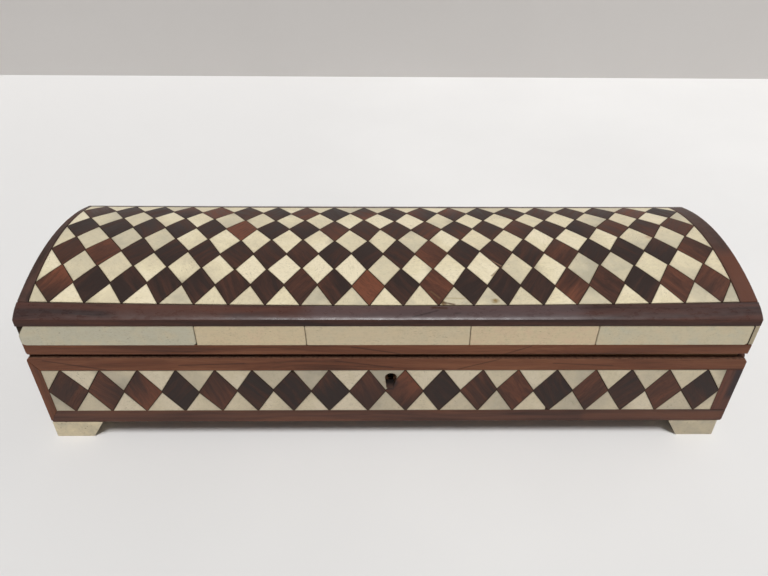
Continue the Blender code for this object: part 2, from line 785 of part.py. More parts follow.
def add_strike(brass, front_rail, lid):
    """The plate under the lid's front rail, with the staple that the bolt catches."""
    half = STRIKE_LENGTH / 2
    inner = CASE_MIDDLE + STAPLE_WIDTH / 2 + OVERRUN
    top = Z_LID + STRIKE_THICKNESS
    strike = add("lock_strike", slab(front_side, (KEYHOLE_X - half, Z_LID), (KEYHOLE_X + half, top),
                                     WALL_OUT, inner), brass, lid)
    eye_bottom, eye_top = BOLT_Z - STAPLE_EYE_HEIGHT / 2, BOLT_Z + STAPLE_EYE_HEIGHT / 2
    staple_left = KEYHOLE_X + STAPLE_X - STAPLE_THICKNESS / 2
    staple_right = staple_left + STAPLE_THICKNESS
    staple = slab(front_side, (staple_left, eye_bottom - STAPLE_TOE),
                  (staple_right, Z_LID + STRIKE_THICKNESS / 2),
                  CASE_MIDDLE - STAPLE_WIDTH / 2, CASE_MIDDLE + STAPLE_WIDTH / 2)
    change(strike, tool("strike_staple", staple), "UNION")
    eye = slab(front_side, (staple_left - OVERRUN, eye_bottom), (staple_right + OVERRUN, eye_top),
               CASE_MIDDLE - STAPLE_EYE_WIDTH / 2, CASE_MIDDLE + STAPLE_EYE_WIDTH / 2)
    change(strike, tool("staple_eye", eye))
    recess = slab(front_side, (KEYHOLE_X - half - GAP, Z_LID - OVERRUN),
                  (KEYHOLE_X + half + GAP, top + GAP), WALL_OUT - OVERRUN, WALL_IN + OVERRUN)
    change(front_rail, tool("strike_recess", recess))


def add_base_carcass(wood):
    """The four walls and the bottom board. Returns the front and the back wall."""
    half = LENGTH / 2 - WALL_OUT
    walls = []
    for name, side in (("base_front_wall", front_side), ("base_back_wall", back_side)):
        walls.append(add(name, slab(side, (-half, Z_BASE), (half, Z_RIM), WALL_OUT, WALL_IN), wood))
    half = DEPTH / 2 - WALL_IN - GAP
    for name, side in (("base_left_wall", left_side), ("base_right_wall", right_side)):
        add(name, slab(side, (-half, Z_BASE), (half, Z_RIM), WALL_OUT, WALL_IN), wood)
    inner = WALL_IN + GAP
    add("base_bottom_board", box((LEFT + inner, FRONT + inner, Z_BASE),
                                 (RIGHT - inner, BACK - inner, Z_BASE + BOTTOM_BOARD)), wood)
    return walls


def add_base_skins(reddish, dark_wood, inlay_wood, bone):
    """Frame strips and inlay on the four sides of the base. Returns pieces that others cut."""
    kept = {}
    ends = DEPTH / 2 - WALL_OUT
    sides = (("front", front_side, BASE_LEFT, BASE_RIGHT, LEFT_STILE, RIGHT_STILE, FRONT_LOZENGES, SKIN),
             ("back", back_side, -BASE_RIGHT, -BASE_LEFT, RIGHT_STILE, LEFT_STILE, FRONT_LOZENGES, SKIN),
             ("left", base_left_side, -ends, ends, END_STILE, END_STILE, END_LOZENGES, BASE_END),
             ("right", base_right_side, -ends, ends, END_STILE, END_STILE, END_LOZENGES, BASE_END))
    for name, side, start, end, first, last, columns, thickness in sides:
        low, high = start + first, end - last
        if name == "front":
            add("base_front_top_strip", slab(side, (start, Z_TOP_STRIP + GAP), (end, Z_RIM)), reddish)
            stile, strip = mitred_corner(side, start, end, low)
            add("base_front_left_stile", stile, reddish)
            add("base_front_right_stile", slab(side, (high + GAP, Z_BAND), (end, Z_TOP_STRIP)), reddish)
        else:
            frame = top_frame(side, start, end, low, high, thickness)
            kept[name + "_frame"] = add("base_" + name + "_frame", frame, reddish)
            strip = slab(side, (start, Z_BASE), (end, Z_BAND - GAP), 0.0, thickness)
        add("base_" + name + "_bottom_strip", strip, dark_wood)
        dark, light = side_inlay(side, low, high, columns, thickness)
        kept[name + "_lozenges"] = add("base_" + name + "_lozenges", dark, inlay_wood)
        kept[name + "_bone"] = add("base_" + name + "_bone", light, bone)
    return kept


def add_feet(bone):
    for x_name, x_sign in (("left", -1), ("right", 1)):
        for y_name, y_sign in (("front", -1), ("back", 1)):
            add("foot_" + y_name + "_" + x_name, foot(x_sign, y_sign), bone)


def add_lid_carcass(wood, lid):
    """Rails, end boards and dome board. Returns the front and the back rail."""
    front = add("lid_front_rail", rail(1), wood, lid)
    back = add("lid_back_rail", rail(-1), wood, lid)
    add("lid_left_end", end_board(LEFT + WALL_OUT, LEFT + WALL_IN), wood, lid)
    add("lid_right_end", end_board(RIGHT - WALL_IN, RIGHT - WALL_OUT), wood, lid)
    add("lid_dome_board", dome_board(), wood, lid)
    return front, back


def add_lid_skins(reddish, dark_wood, inlay_wood, bone, lid):
    """Nosings, edge bands, lunettes, strips and inlay of the lid. Returns the back lower strip."""
    add("lid_front_nosing", nosing(1), dark_wood, lid)
    add("lid_back_nosing", nosing(-1), dark_wood, lid)
    add("lid_left_band", edge_band(LEFT, INLAY_LEFT - GAP, LEFT_TAPER), reddish, lid)
    add("lid_right_band", edge_band(INLAY_RIGHT + GAP, RIGHT), reddish, lid)
    add("lid_left_lunette", lunette(LEFT, LEFT + SKIN), reddish, lid)
    add("lid_right_lunette", lunette(RIGHT - SKIN, RIGHT), reddish, lid)
    half, across = LENGTH / 2, DEPTH / 2
    rows = (("front", front_side, -half, half - WALL_OUT, FRONT_JOINT_SHARES),
            ("back", back_side, WALL_OUT - half, half, BACK_JOINT_SHARES),
            ("left", left_side, WALL_OUT - across, across - WALL_OUT, LEFT_JOINT_SHARES),
            ("right", right_side, -across, across, RIGHT_JOINT_SHARES))
    lower_strips = {}
    for name, side, low, high, shares in rows:
        add("lid_" + name + "_bone_strips", bone_strips(side, low, high, shares), bone, lid)
        reach = half if name in ("front", "back") else across - WALL_OUT
        strip = slab(side, (-reach, Z_LID), (reach, Z_BONE - GAP))
        lower_strips[name] = add("lid_" + name + "_lower_strip", strip, reddish, lid)
    dark, light = dome_inlay()
    add("dome_lozenges", dark, inlay_wood, lid)
    add("dome_bone", light, bone, lid)
    return lower_strips["back"]


def main():
    clear_scene()
    wood = material("inner_wood", (0.36, 0.19, 0.10), 0.6)
    reddish = material("reddish_wood", (0.27, 0.10, 0.05), 0.4)
    dark_wood = material("dark_wood", (0.10, 0.04, 0.035), 0.35)
    inlay_wood = material("inlay_wood", (0.09, 0.045, 0.035), 0.4)
    bone = material("bone", (0.78, 0.71, 0.56), 0.35)
    brass = material("brass", (0.72, 0.50, 0.22), 0.35, 1.0)
    steel = material("steel", (0.33, 0.33, 0.34), 0.4, 1.0)
    lid = axis_point("lid_axis", Vector((0.0, BACK, HINGE_Z)))
    bolt = axis_point("bolt_axis", Vector((KEYHOLE_X, FRONT + CASE_MIDDLE, BOLT_Z)))

    front_wall, back_wall = add_base_carcass(wood)
    skins = add_base_skins(reddish, dark_wood, inlay_wood, bone)
    add_feet(bone)
    front_rail, back_rail = add_lid_carcass(wood, lid)
    back_strip = add_lid_skins(reddish, dark_wood, inlay_wood, bone, lid)
    add_hinges(brass, steel, {-1: (back_wall, skins["back_frame"]), 1: (back_rail, back_strip)}, lid)
    add_lock(steel, brass, front_wall, (skins["front_lozenges"], skins["front_bone"]))
    add_bolt(steel, bolt)
    add_strike(brass, front_rail, lid)


main()
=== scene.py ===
"""Looks of the bone inlaid box: hand-laid tiles, moulded and worn wood, aged bone, metal, floor and light."""
import random
import re
from math import asin, cos, hypot, pi, radians, sin, sqrt

import bmesh
import bpy
from mathutils import Matrix, Vector


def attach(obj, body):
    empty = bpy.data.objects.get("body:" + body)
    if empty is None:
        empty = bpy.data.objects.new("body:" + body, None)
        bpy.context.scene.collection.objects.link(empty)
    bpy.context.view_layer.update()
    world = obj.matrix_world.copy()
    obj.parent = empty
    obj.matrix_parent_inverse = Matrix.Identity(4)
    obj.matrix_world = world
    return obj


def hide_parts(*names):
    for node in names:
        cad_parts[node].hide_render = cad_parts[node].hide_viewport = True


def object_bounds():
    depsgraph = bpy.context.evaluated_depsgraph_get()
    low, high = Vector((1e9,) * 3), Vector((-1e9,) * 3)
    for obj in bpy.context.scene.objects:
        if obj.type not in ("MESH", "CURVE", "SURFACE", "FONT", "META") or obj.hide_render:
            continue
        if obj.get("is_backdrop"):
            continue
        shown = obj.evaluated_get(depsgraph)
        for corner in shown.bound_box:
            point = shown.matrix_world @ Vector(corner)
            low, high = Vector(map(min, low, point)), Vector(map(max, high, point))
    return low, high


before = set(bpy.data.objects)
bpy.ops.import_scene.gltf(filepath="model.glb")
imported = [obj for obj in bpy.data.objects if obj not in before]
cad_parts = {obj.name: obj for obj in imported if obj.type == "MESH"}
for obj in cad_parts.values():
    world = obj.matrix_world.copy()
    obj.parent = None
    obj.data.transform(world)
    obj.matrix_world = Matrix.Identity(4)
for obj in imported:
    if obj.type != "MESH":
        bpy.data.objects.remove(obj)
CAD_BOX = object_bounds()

MM = 0.001

# Sizes of the solids that the pieces follow
LENGTH, DEPTH = 305 * MM, 95 * MM
MIDDLE = -0.9 * MM
LEFT, RIGHT = -LENGTH / 2, LENGTH / 2
OVERHANG = 1.0 * MM
BASE_LEFT, BASE_RIGHT = LEFT - OVERHANG, RIGHT + OVERHANG
FRONT, BACK = MIDDLE - DEPTH / 2, MIDDLE + DEPTH / 2
Z_BASE, Z_BAND, Z_TOP_STRIP, Z_RIM = 9.5 * MM, 16.6 * MM, 41.0 * MM, 48.8 * MM
Z_LID, Z_BONE, Z_NOSING, Z_CREASE, Z_INLAY = 50.2 * MM, 55.2 * MM, 65.4 * MM, 68.8 * MM, 72.7 * MM
SKIN, TILE, GAP = 2.3 * MM, 2.0 * MM, 0.3 * MM
NOSING_WIDTH, NOSING_CROWN = 7.3 * MM, 0.4 * MM
DOME_RISE, FRONT_BOW, BACK_BOW, PANEL_SAG = 6.7 * MM, 2.0 * MM, 0.5 * MM, 1.8 * MM
LEFT_BAND, RIGHT_BAND = 4.7 * MM, 7.7 * MM
LEFT_STILE, RIGHT_STILE, END_STILE = 4.2 * MM, 7.2 * MM, 4.0 * MM
KEYHOLE_X, KEYHOLE_Z, KEYHOLE_RADIUS = 0.5 * MM, 36.7 * MM, 2.6 * MM

# Glue lines, worn edges and the depth of the filler between the tiles
STRIP_JOINT, WOOD_JOINT, BORDER_JOINT, BONE_JOINTS = 0.04 * MM, 0.03 * MM, 0.1, (0.26, 0.42)
TILE_EDGE, STRIP_EDGE, END_STRIP_EDGE, GROUND_DEPTH = 0.05 * MM, 0.22 * MM, 0.15 * MM, 0.11 * MM
MERGE, WOOD_RELIEF, SHARP_EDGE = 0.001 * MM, 0.03 * MM, 35

DOME_HALF = DEPTH / 2 - NOSING_WIDTH
DOME_RADIUS = (DOME_HALF ** 2 + DOME_RISE ** 2) / (2 * DOME_RISE)
DOME_ANGLE = asin(DOME_HALF / DOME_RADIUS)
DOME_ARC = 2 * DOME_ANGLE * DOME_RADIUS


# ---- surfaces

def dome_top(x, y):
    """Height of the lid's sagging arched surface."""
    along = x / (LENGTH / 2)
    across = (y - MIDDLE) / DOME_HALF
    edges = FRONT_BOW * (1 - across) / 2 + BACK_BOW * (1 + across) / 2
    arc = sqrt(DOME_RADIUS ** 2 - (y - MIDDLE) ** 2) - (DOME_RADIUS - DOME_RISE)
    return Z_INLAY + arc - (1 - along ** 2) * (edges + PANEL_SAG * (1 - across ** 2))


def on_dome(x, along, depth):
    """A place under the lid's surface, from a length along its arc and a depth."""
    y = MIDDLE + DOME_RADIUS * sin(along / DOME_RADIUS - DOME_ANGLE)
    return x, y, dome_top(x, y) - depth


def side_at(x, y, run_x, run_y):
    """Places on the side through (x, y), from a length along its run, a height and a depth."""
    def place(along, up, inwards):
        return x + run_x * along - run_y * inwards, y + run_y * along + run_x * inwards, up

    return place


SIDES = {"lid": {"front": side_at(0, FRONT, 1, 0), "back": side_at(0, BACK, -1, 0),
                 "left": side_at(LEFT, MIDDLE, 0, -1), "right": side_at(RIGHT, MIDDLE, 0, 1)}}
SIDES["base"] = {**SIDES["lid"], "left": side_at(BASE_LEFT, MIDDLE, 0, -1),
                 "right": side_at(BASE_RIGHT, MIDDLE, 0, 1)}


# ---- outlines on a flat sheet

def edges_of(outline):
    return list(zip(outline, outline[1:] + outline[:1]))


def inset(polygon, distances):
    """An anticlockwise polygon with each edge moved inwards by its own distance."""
    lines = []
    for ((x0, y0), (x1, y1)), distance in zip(edges_of(polygon), distances):
        length = hypot(x1 - x0, y1 - y0)
        run_x, run_y = (x1 - x0) / length, (y1 - y0) / length
        lines.append((x0 - run_y * distance, y0 + run_x * distance, run_x, run_y))
    corners = []
    for index, (x, y, run_x, run_y) in enumerate(lines):
        bx, by, bu, bv = lines[index - 1]
        across = bu * run_y - bv * run_x
        along = ((x - bx) * run_y - (y - by) * run_x) / across
        corners.append((bx + bu * along, by + bv * along))
    return corners


def edge_distance(point, polygon):
    """Distance from a point to the polygon's nearest edge line."""
    x, y = point
    return min(abs((x1 - x0) * (y - y0) - (y1 - y0) * (x - x0)) / hypot(x1 - x0, y1 - y0)
               for (x0, y0), (x1, y1) in edges_of(polygon))


def middle_of(outline):
    return [sum(parts) / len(outline) for parts in zip(*outline)]


def oblong(low, bottom, high, top):
    return [(low, bottom), (high, bottom), (high, top), (low, top)]


class Lattice:
    """The hand-laid net of lozenge tips: even steps, a slow drift and a little unevenness."""

    def __init__(self, low, high, bottom, top, columns, rows, seed, uneven, drift=None):
        self.columns, self.rows = columns, rows
        dice = random.Random(seed)
        self.points = {}
        for i in range(2 * columns + 1):
            for j in range(2 * rows + 1):
                share_x, share_y = i / (2 * columns), j / (2 * rows)
                x = low + (high - low) * share_x
                y = bottom + (top - bottom) * share_y
                if drift:
                    x, y = drift(x, y, share_x, share_y)
                if 0 < i < 2 * columns:
                    x += dice.gauss(0, 1) * uneven[0]
                if 0 < j < 2 * rows:
                    y += dice.gauss(0, 1) * uneven[1]
                self.points[i, j] = (x, y)

    def shape(self, keys):
        """The outline through the keys, and for each of its edges if it lies on the field's border."""
        last_i, last_j = 2 * self.columns, 2 * self.rows
        border = [one[0] == two[0] in (0, last_i) or one[1] == two[1] in (0, last_j)
                  for one, two in edges_of(keys)]
        return [self.points[key] for key in keys], border

    def dark(self):
        """Outlines of the dark lozenges, by column and row."""
        for row in range(self.rows):
            for column in range(self.columns):
                i, j = 2 * column + 1, 2 * row + 1
                yield (column, row), self.shape([(i - 1, j), (i, j - 1), (i + 1, j), (i, j + 1)])

    def light(self):
        """Outlines of the bone pieces: whole, halved at a border, quartered in a corner."""
        for row in range(self.rows + 1):
            for column in range(self.columns + 1):
                i, j = 2 * column, 2 * row
                keys = [(i - 1, j), (i, j - 1), (i + 1, j), (i, j + 1)]
                kept = []
                for index, key in enumerate(keys):
                    if key in self.points:
                        kept.append(key)
                    elif keys[index - 1] not in self.points:
                        kept.append((i, j))
                yield (column, row), self.shape(kept)


# ---- meshes

def placed(name, data):
    """A new object in the scene."""
    made = bpy.data.objects.new(name, data)
    bpy.context.scene.collection.objects.link(made)
    return made


def reshape(mesh, change):
    shaper = bmesh.new()
    shaper.from_mesh(mesh)
    change(shaper)
    shaper.to_mesh(mesh)
    shaper.free()


class Pieces:
    """Collects points, faces and what the materials need to know of each piece."""

    def __init__(self):
        self.points, self.faces, self.facts = [], [], []

    def point(self, place, tone=0.5, kind=0.0, edge=5.0, grain=(0.0, 0.0, 0.0)):
        self.points.append(place)
        self.facts.append((tone, kind, edge, grain))
        return len(self.points) - 1

    def build(self, name, finish, smooth_angle=40):
        mesh = bpy.data.meshes.new(name)
        mesh.from_pydata(self.points, [], self.faces)
        for label, values in zip(("tone", "kind", "edge"), zip(*self.facts)):
            mesh.attributes.new(label, "FLOAT", "POINT").data.foreach_set("value", values)
        grains = [part for facts in self.facts for part in facts[-1]]
        mesh.attributes.new("grain", "FLOAT_VECTOR", "POINT").data.foreach_set("vector", grains)
        reshape(mesh, lambda shaper: bmesh.ops.remove_doubles(shaper, verts=shaper.verts, dist=MERGE))
        mesh.shade_smooth()
        mesh.set_sharp_from_angle(angle=radians(smooth_angle))
        mesh.materials.append(finish)
        return placed(name, mesh)

    def grid(self, rows):
        """Faces between rows of points. Corners that meet are joined."""
        for one, two in zip(rows, rows[1:]):
            for i in range(len(one) - 1):
                self.faces.append(self.joined((one[i], one[i + 1], two[i + 1], two[i])))

    def joined(self, corners):
        return tuple({self.points[k]: k for k in corners}.values())

    def block(self, put, last_i, last_j, under):
        """A closed body with a gridded top, from put(i, j), and an underside at the given depth."""
        rows = [[put(i, j) for i in range(last_i + 1)] for j in range(last_j + 1)]
        self.grid(rows)
        rim = ([(i, 0) for i in range(last_i)] + [(last_i, j) for j in range(last_j)]
               + [(i, last_j) for i in range(last_i, 0, -1)] + [(0, j) for j in range(last_j, 0, -1)])
        upper = [rows[j][i] for i, j in rim]
        lower = [put(i, j, under) for i, j in rim]
        for (one, below), (two, below_two) in edges_of(list(zip(upper, lower))):
            if self.points[one] != self.points[two]:
                self.faces.append((one, below, below_two, two))
        self.faces.append(self.joined(lower)[::-1])


def bevel(piece, width, segments=2):
    """Rounds the sharp edges of a piece."""
    step = piece.modifiers.new("rounded_edges", "BEVEL")
    step.width, step.segments = width, segments
    step.limit_method, step.angle_limit = "ANGLE", radians(SHARP_EDGE)
    return piece


def refaced(piece, finish, chosen):
    """Gives another finish to the faces whose normal is chosen."""
    piece.data.materials.append(finish)
    for polygon in piece.data.polygons:
        polygon.material_index = int(chosen(polygon.normal))


TILE_SHARES = (0.0, 0.045, 0.2, 0.4, 0.6, 0.8, 0.955, 1.0)


def lay_tile(pieces, outline, place, thickness, dice, joints, grain_angle, look):
    """One tile that follows the surface, a little high or low and leaning, with its own grain."""
    polygon = inset(outline, joints)
    corners = polygon if len(polygon) == 4 else polygon + [polygon[-1]]
    lift = dice.uniform(-0.02, 0.02) * MM
    lean_x, lean_y = dice.gauss(0, 0.003), dice.gauss(0, 0.003)
    middle_x, middle_y = middle_of(outline)
    turn, shift = cos(grain_angle), sin(grain_angle)
    start = [dice.uniform(0, 1) for _ in range(3)]

    def put(i, j, sunk=None):
        u, v = TILE_SHARES[i], TILE_SHARES[j]
        weights = ((1 - u) * (1 - v), u * (1 - v), u * v, (1 - u) * v)
        x = sum(weight * corner[0] for weight, corner in zip(weights, corners))
        y = sum(weight * corner[1] for weight, corner in zip(weights, corners))
        off_x, off_y = x - middle_x, y - middle_y
        depth = 0.04 * MM - lift - lean_x * off_x - lean_y * off_y if sunk is None else sunk
        grain = (start[0] + off_x * turn + off_y * shift, start[1] - off_x * shift + off_y * turn, start[2])
        return pieces.point(place(x, y, depth), *look(x, y), edge_distance((x, y), polygon) / MM, grain)

    pieces.block(put, len(TILE_SHARES) - 1, len(TILE_SHARES) - 1, thickness)


def bone_look(outline, dice):
    """A bone tile's tone, which changes slowly across it, and at times a darker corner."""
    tone, turn = dice.triangular(0.0, 1.15, 0.7), dice.uniform(0, 2 * pi)
    change = dice.uniform(0.0, 0.05) / MM
    corner = dice.choice(outline)
    dark, reach = 0.0, MM
    if dice.random() < 0.34:
        dark, reach = dice.uniform(0.3, 0.9), dice.uniform(3.0, 6.5) * MM

    def look(x, y):
        shift = (x - outline[0][0]) * cos(turn) + (y - outline[0][1]) * sin(turn)
        return tone + change * shift, dark * max(0.0, 1.0 - hypot(x - corner[0], y - corner[1]) / reach)

    return look


def wood_look(outline, dice, kind):
    """A wood tile's kind, from near black to reddish, which changes a little across it."""
    turn, change = dice.uniform(0, 2 * pi), dice.gauss(0, 0.022) / MM
    middle_x, middle_y = middle_of(outline)

    def look(x, y):
        return 0.0, kind + change * ((x - middle_x) * cos(turn) + (y - middle_y) * sin(turn))

    return look


def ground(name, low, high, bottom, top, place, steps_x, steps_y, drift=None):
    """The dark filler between the tiles."""
    pieces = Pieces()
    rows = []
    for j in range(steps_y + 1):
        row = []
        for i in range(steps_x + 1):
            x, y = low + (high - low) * i / steps_x, bottom + (top - bottom) * j / steps_y
            if drift:
                x, y = drift(x, y, i / steps_x, j / steps_y)
            row.append(pieces.point(place(x, y, GROUND_DEPTH)))
        rows.append(row)
    pieces.grid(rows)
    return pieces.build(name, FILLER)


def outward(piece):
    reshape(piece.data, lambda shaper: bmesh.ops.recalc_face_normals(shaper, faces=shaper.faces))
    return piece


def solid(name, rings, finish, smooth_angle=40):
    """A closed solid through rings with equal numbers of points."""
    pieces = Pieces()
    numbers = [[pieces.point(place) for place in ring] for ring in rings]
    for one, two in zip(numbers, numbers[1:]):
        for (low, low_two), (high, high_two) in zip(edges_of(one), edges_of(two)):
            pieces.faces.append((low, low_two, high_two, high))
    pieces.faces += [tuple(reversed(numbers[0])), tuple(numbers[-1])]
    return outward(pieces.build(name, finish, smooth_angle))


def baked(piece, cutter):
    """Cuts the cutter out of a piece, and removes the cutter."""
    step = piece.modifiers.new("cut", "BOOLEAN")
    step.solver = "EXACT"
    step.object = cutter
    bpy.context.view_layer.update()
    evaluated = piece.evaluated_get(bpy.context.evaluated_depsgraph_get())
    mesh = bpy.data.meshes.new_from_object(evaluated)
    piece.modifiers.remove(step)
    old = piece.data
    piece.data = mesh
    bpy.data.meshes.remove(old)
    bpy.data.objects.remove(cutter, do_unlink=True)


# ---- materials

def tint(colour):
    """A colour from its parts in thousandths."""
    return *(part / 1000 for part in colour), 1.0


class Nodes:
    """The node tree of a material or of the world, filled by short calls."""

    def __init__(self, owner):
        self.owner = owner
        owner.use_nodes = True
        self.tree = owner.node_tree

    def put(self, socket, value):
        if isinstance(value, bpy.types.NodeSocket):
            self.tree.links.new(value, socket)
        else:
            socket.default_value = value

    def node(self, kind, inputs=None, output=0, **settings):
        made = self.tree.nodes.new("ShaderNode" + kind)
        for key, value in settings.items():
            setattr(made, key, value)
        for key, value in (inputs or {}).items():
            self.put(made.inputs[key], value)
        return made.outputs[output]

    def position(self):
        return self.node("TexCoord", output="Object")

    def attribute(self, name, output="Fac"):
        return self.node("Attribute", output=output, attribute_name=name)

    def scaled(self, vector, scale):
        return self.node("VectorMath", {0: vector, 1: scale}, operation="MULTIPLY")

    def noise(self, vector, scale=1.0, detail=3.0, roughness=0.5, distortion=0.0):
        return self.node("TexNoise", {"Vector": vector, "Scale": scale, "Detail": detail,
                                      "Roughness": roughness, "Distortion": distortion}, output="Fac")

    def grained(self, vector, scales, detail, roughness, distortion=0.0):
        """Noise with its own scale along each axis."""
        return self.noise(self.scaled(vector, scales), 1.0, detail, roughness, distortion)

    def ramp(self, value, stops):
        """A colour ramp through (place, colour) stops."""
        made = self.tree.nodes.new("ShaderNodeValToRGB")
        self.put(made.inputs["Fac"], value)
        points = made.color_ramp.elements
        while len(points) < len(stops):
            points.new(0.5)
        for point, (place, colour) in zip(points, stops):
            point.position = place
            point.color = tint(colour)
        return made.outputs["Color"]

    def span(self, value, low, high, new_low=0.0, new_high=1.0):
        return self.node("MapRange", {"Value": value, "From Min": low, "From Max": high,
                                      "To Min": new_low, "To Max": new_high})

    def maths(self, operation, one, two=0.0):
        return self.node("Math", {0: one, 1: two}, operation=operation)

    def times(self, one, two):
        return self.maths("MULTIPLY", one, two)

    def mix(self, share, one, two):
        one, two = (end if isinstance(end, bpy.types.NodeSocket) else tint(end) for end in (one, two))
        return self.node("Mix", {0: share, 6: one, 7: two}, output=2, data_type="RGBA")

    def streak(self, start, end, width):
        """A soft long mask from one place to another."""
        start, end = Vector(start), Vector(end)
        run = end - start
        centred = self.node("VectorMath", {0: self.position(), 1: (start + end) / 2}, operation="SUBTRACT")
        along = self.node("VectorMath", {0: centred, 1: run.normalized()}, output="Value",
                          operation="DOT_PRODUCT")
        whole = self.node("VectorMath", {0: centred}, output="Value", operation="LENGTH")
        square = self.maths("SUBTRACT", self.times(whole, whole), self.times(along, along))
        aside = self.span(self.maths("SQRT", self.maths("MAXIMUM", square)), width, width * 0.4)
        reach = self.span(self.maths("ABSOLUTE", along), run.length / 2 + width, run.length / 2)
        return self.times(aside, reach)

    def marked(self, colour, marks, patchy=None):
        """The colour with marks of wear, stains and grain on it, and on the nosing's top a painted sheen."""
        for start, end, width, worn, share in marks:
            mask = self.streak(start, end, width)
            if patchy is not None:
                mask = self.times(mask, patchy)
            colour = self.mix(self.times(mask, share), colour, worn)
        return colour


class Finish(Nodes):
    """A material."""

    def __init__(self, name, roughness=0.4, metallic=0.0, specular=0.5):
        super().__init__(bpy.data.materials.new(name))
        self.shader = self.tree.nodes["Principled BSDF"]
        values = {"Roughness": roughness, "Metallic": metallic, "Specular IOR Level": specular}
        for label, value in values.items():
            self.shader.inputs[label].default_value = value

    def bump(self, height, distance):
        made = self.node("Bump", {"Height": height, "Distance": distance, "Strength": 0.5}, output="Normal")
        self.put(self.shader.inputs["Normal"], made)

    def done(self, colour, roughness=None):
        self.put(self.shader.inputs["Base Color"], colour)
        if roughness is not None:
            self.put(self.shader.inputs["Roughness"], roughness)
        return self.owner


BONE_TONES = ((0.0, (445, 405, 305)), (0.18, (545, 490, 360)), (0.5, (660, 580, 410)), (0.8, (755, 665, 460)),
              (1.0, (805, 715, 520)))
STRIP_TONES = ((0.0, (530, 505, 395)), (0.25, (600, 530, 375)), (0.5, (630, 525, 360)),
               (0.8, (660, 540, 355)), (1.0, (665, 510, 345)))


def bone_finish(name, tones=BONE_TONES, gain=(1.0, 1.0, 1.0), tiles=True, stains=()):
    """Old bone: cream to grey-green, mottled, with fine pores and grime along the edges."""
    look = Finish(name, roughness=0.36, specular=0.4)
    position = look.position()
    tones = [(place, tuple(part * by for part, by in zip(colour, gain))) for place, colour in tones]
    cloud = look.noise(position, 170.0, 3.0, 0.55, 0.3)
    if tiles:
        tone = look.maths("ADD", look.attribute("tone"), look.span(cloud, 0.3, 0.7, -0.16, 0.16))
        vector = look.attribute("grain", "Vector")
    else:
        tone = look.span(cloud, 0.25, 0.75, 0.1, 0.9)
        vector = position
    colour = look.ramp(tone, tones)
    fibres = look.grained(vector, (220.0, 2200.0, 900.0), 3.0, 0.6)
    colour = look.mix(look.span(fibres, 0.35, 0.75, 0.0, 0.3), colour, (500, 420, 270))
    mottle = look.noise(position, 900.0, 2.0, 0.6)
    colour = look.mix(look.span(mottle, 0.52, 0.72, 0.0, 0.28), colour, (420, 350, 220))
    pores = look.span(look.grained(vector, (900.0, 3600.0, 900.0), 2.0, 0.5), 0.62, 0.74)
    pores = look.times(pores, look.span(look.noise(position, 95.0, 2.0, 0.5), 0.44, 0.6, 0.0, 0.85))
    colour = look.mix(pores, colour, (200, 150, 90))
    if tiles:
        reach = look.span(look.noise(position, 800.0, 2.0, 0.5), 0.3, 0.7, 0.25, 0.75)
        grime = look.span(look.attribute("edge"), 0.0, reach, 0.55, 0.0)
        colour = look.mix(grime, colour, (260, 200, 125))
        shade = look.times(look.attribute("kind"), look.span(cloud, 0.3, 0.6, 0.3, 1.0))
        colour = look.mix(shade, colour, (250, 215, 150))
    if stains:
        colour = look.marked(colour, stains, look.span(mottle, 0.3, 0.6, 0.65, 1.0))
    look.bump(look.maths("ADD", fibres, look.times(pores, -2.0)), 0.02 * MM)
    return look.done(colour, look.span(cloud, 0.3, 0.7, 0.28, 0.42))


def wood_streaks(look, vector, along, across):
    """Long streaks and fine pores along the vector's first axis."""
    bent = look.grained(vector, (along * 0.6, across * 0.1, across * 0.1), 2.0, 0.5)
    aside = look.scaled(look.node("CombineXYZ", {1: bent, 2: bent}), (0.0, 0.012, 0.012))
    wavy = look.node("VectorMath", {0: vector, 1: aside}, operation="ADD")
    broad = look.grained(wavy, (along, across, across), 4.0, 0.55, 0.2)
    fine = look.grained(wavy, (along * 4, across * 9, across * 9), 3.0, 0.6)
    return broad, fine


def tile_wood(name, scratches):
    """Rosewood tiles: near black, brown or reddish, each with its own grain."""
    look = Finish(name, roughness=0.42, specular=0.19)
    grain = look.attribute("grain", "Vector")
    broad, fine = wood_streaks(look, grain, 40.0, 420.0)
    kind = look.maths("ADD", look.attribute("kind"), look.span(broad, 0.3, 0.7, -0.26, 0.26))
    colour = look.ramp(kind, [(0.0, (33, 21, 18)), (0.35, (61, 28, 20)), (0.65, (103, 40, 25)),
                              (1.0, (168, 58, 32))])
    colour = look.mix(look.span(fine, 0.48, 0.72, 0.0, 0.6), colour, (22, 13, 11))
    look.bump(look.maths("ADD", broad, fine), WOOD_RELIEF)
    return look.done(look.marked(colour, scratches), look.span(broad, 0.3, 0.7, 0.36, 0.52))


def strip_wood(name, dark, middle, light, rough=(0.36, 0.52), along=14.0, across=260.0, axis=0, gloss=0.2,
               worn=(), wavy=0.0):
    """Wood strips with streaks along the given axis, and with a slightly uneven surface where wavy."""
    look = Finish(name, roughness=0.4, specular=gloss)
    position = look.position()
    if axis:
        parts = [look.node("SeparateXYZ", {0: position}, output=k) for k in range(3)]
        parts.insert(0, parts.pop(axis))
        position = look.node("CombineXYZ", dict(enumerate(parts)))
    broad, fine = wood_streaks(look, position, along, across)
    colour = look.ramp(broad, [(0.3, dark), (0.47, middle), (0.7, light)])
    colour = look.mix(look.span(fine, 0.5, 0.78, 0.0, 0.5), colour, tuple(part * 0.35 for part in dark))
    height, gleam = look.maths("ADD", broad, fine), broad
    if wavy:
        gleam = look.noise(look.scaled(position, (0.5, 1.0, 1.0)), 420.0, 3.0, 0.6)
        height = look.maths("ADD", height, look.times(gleam, wavy))
    look.bump(height, WOOD_RELIEF)
    return look.done(look.marked(colour, worn), look.span(gleam, 0.3, 0.7, *rough))


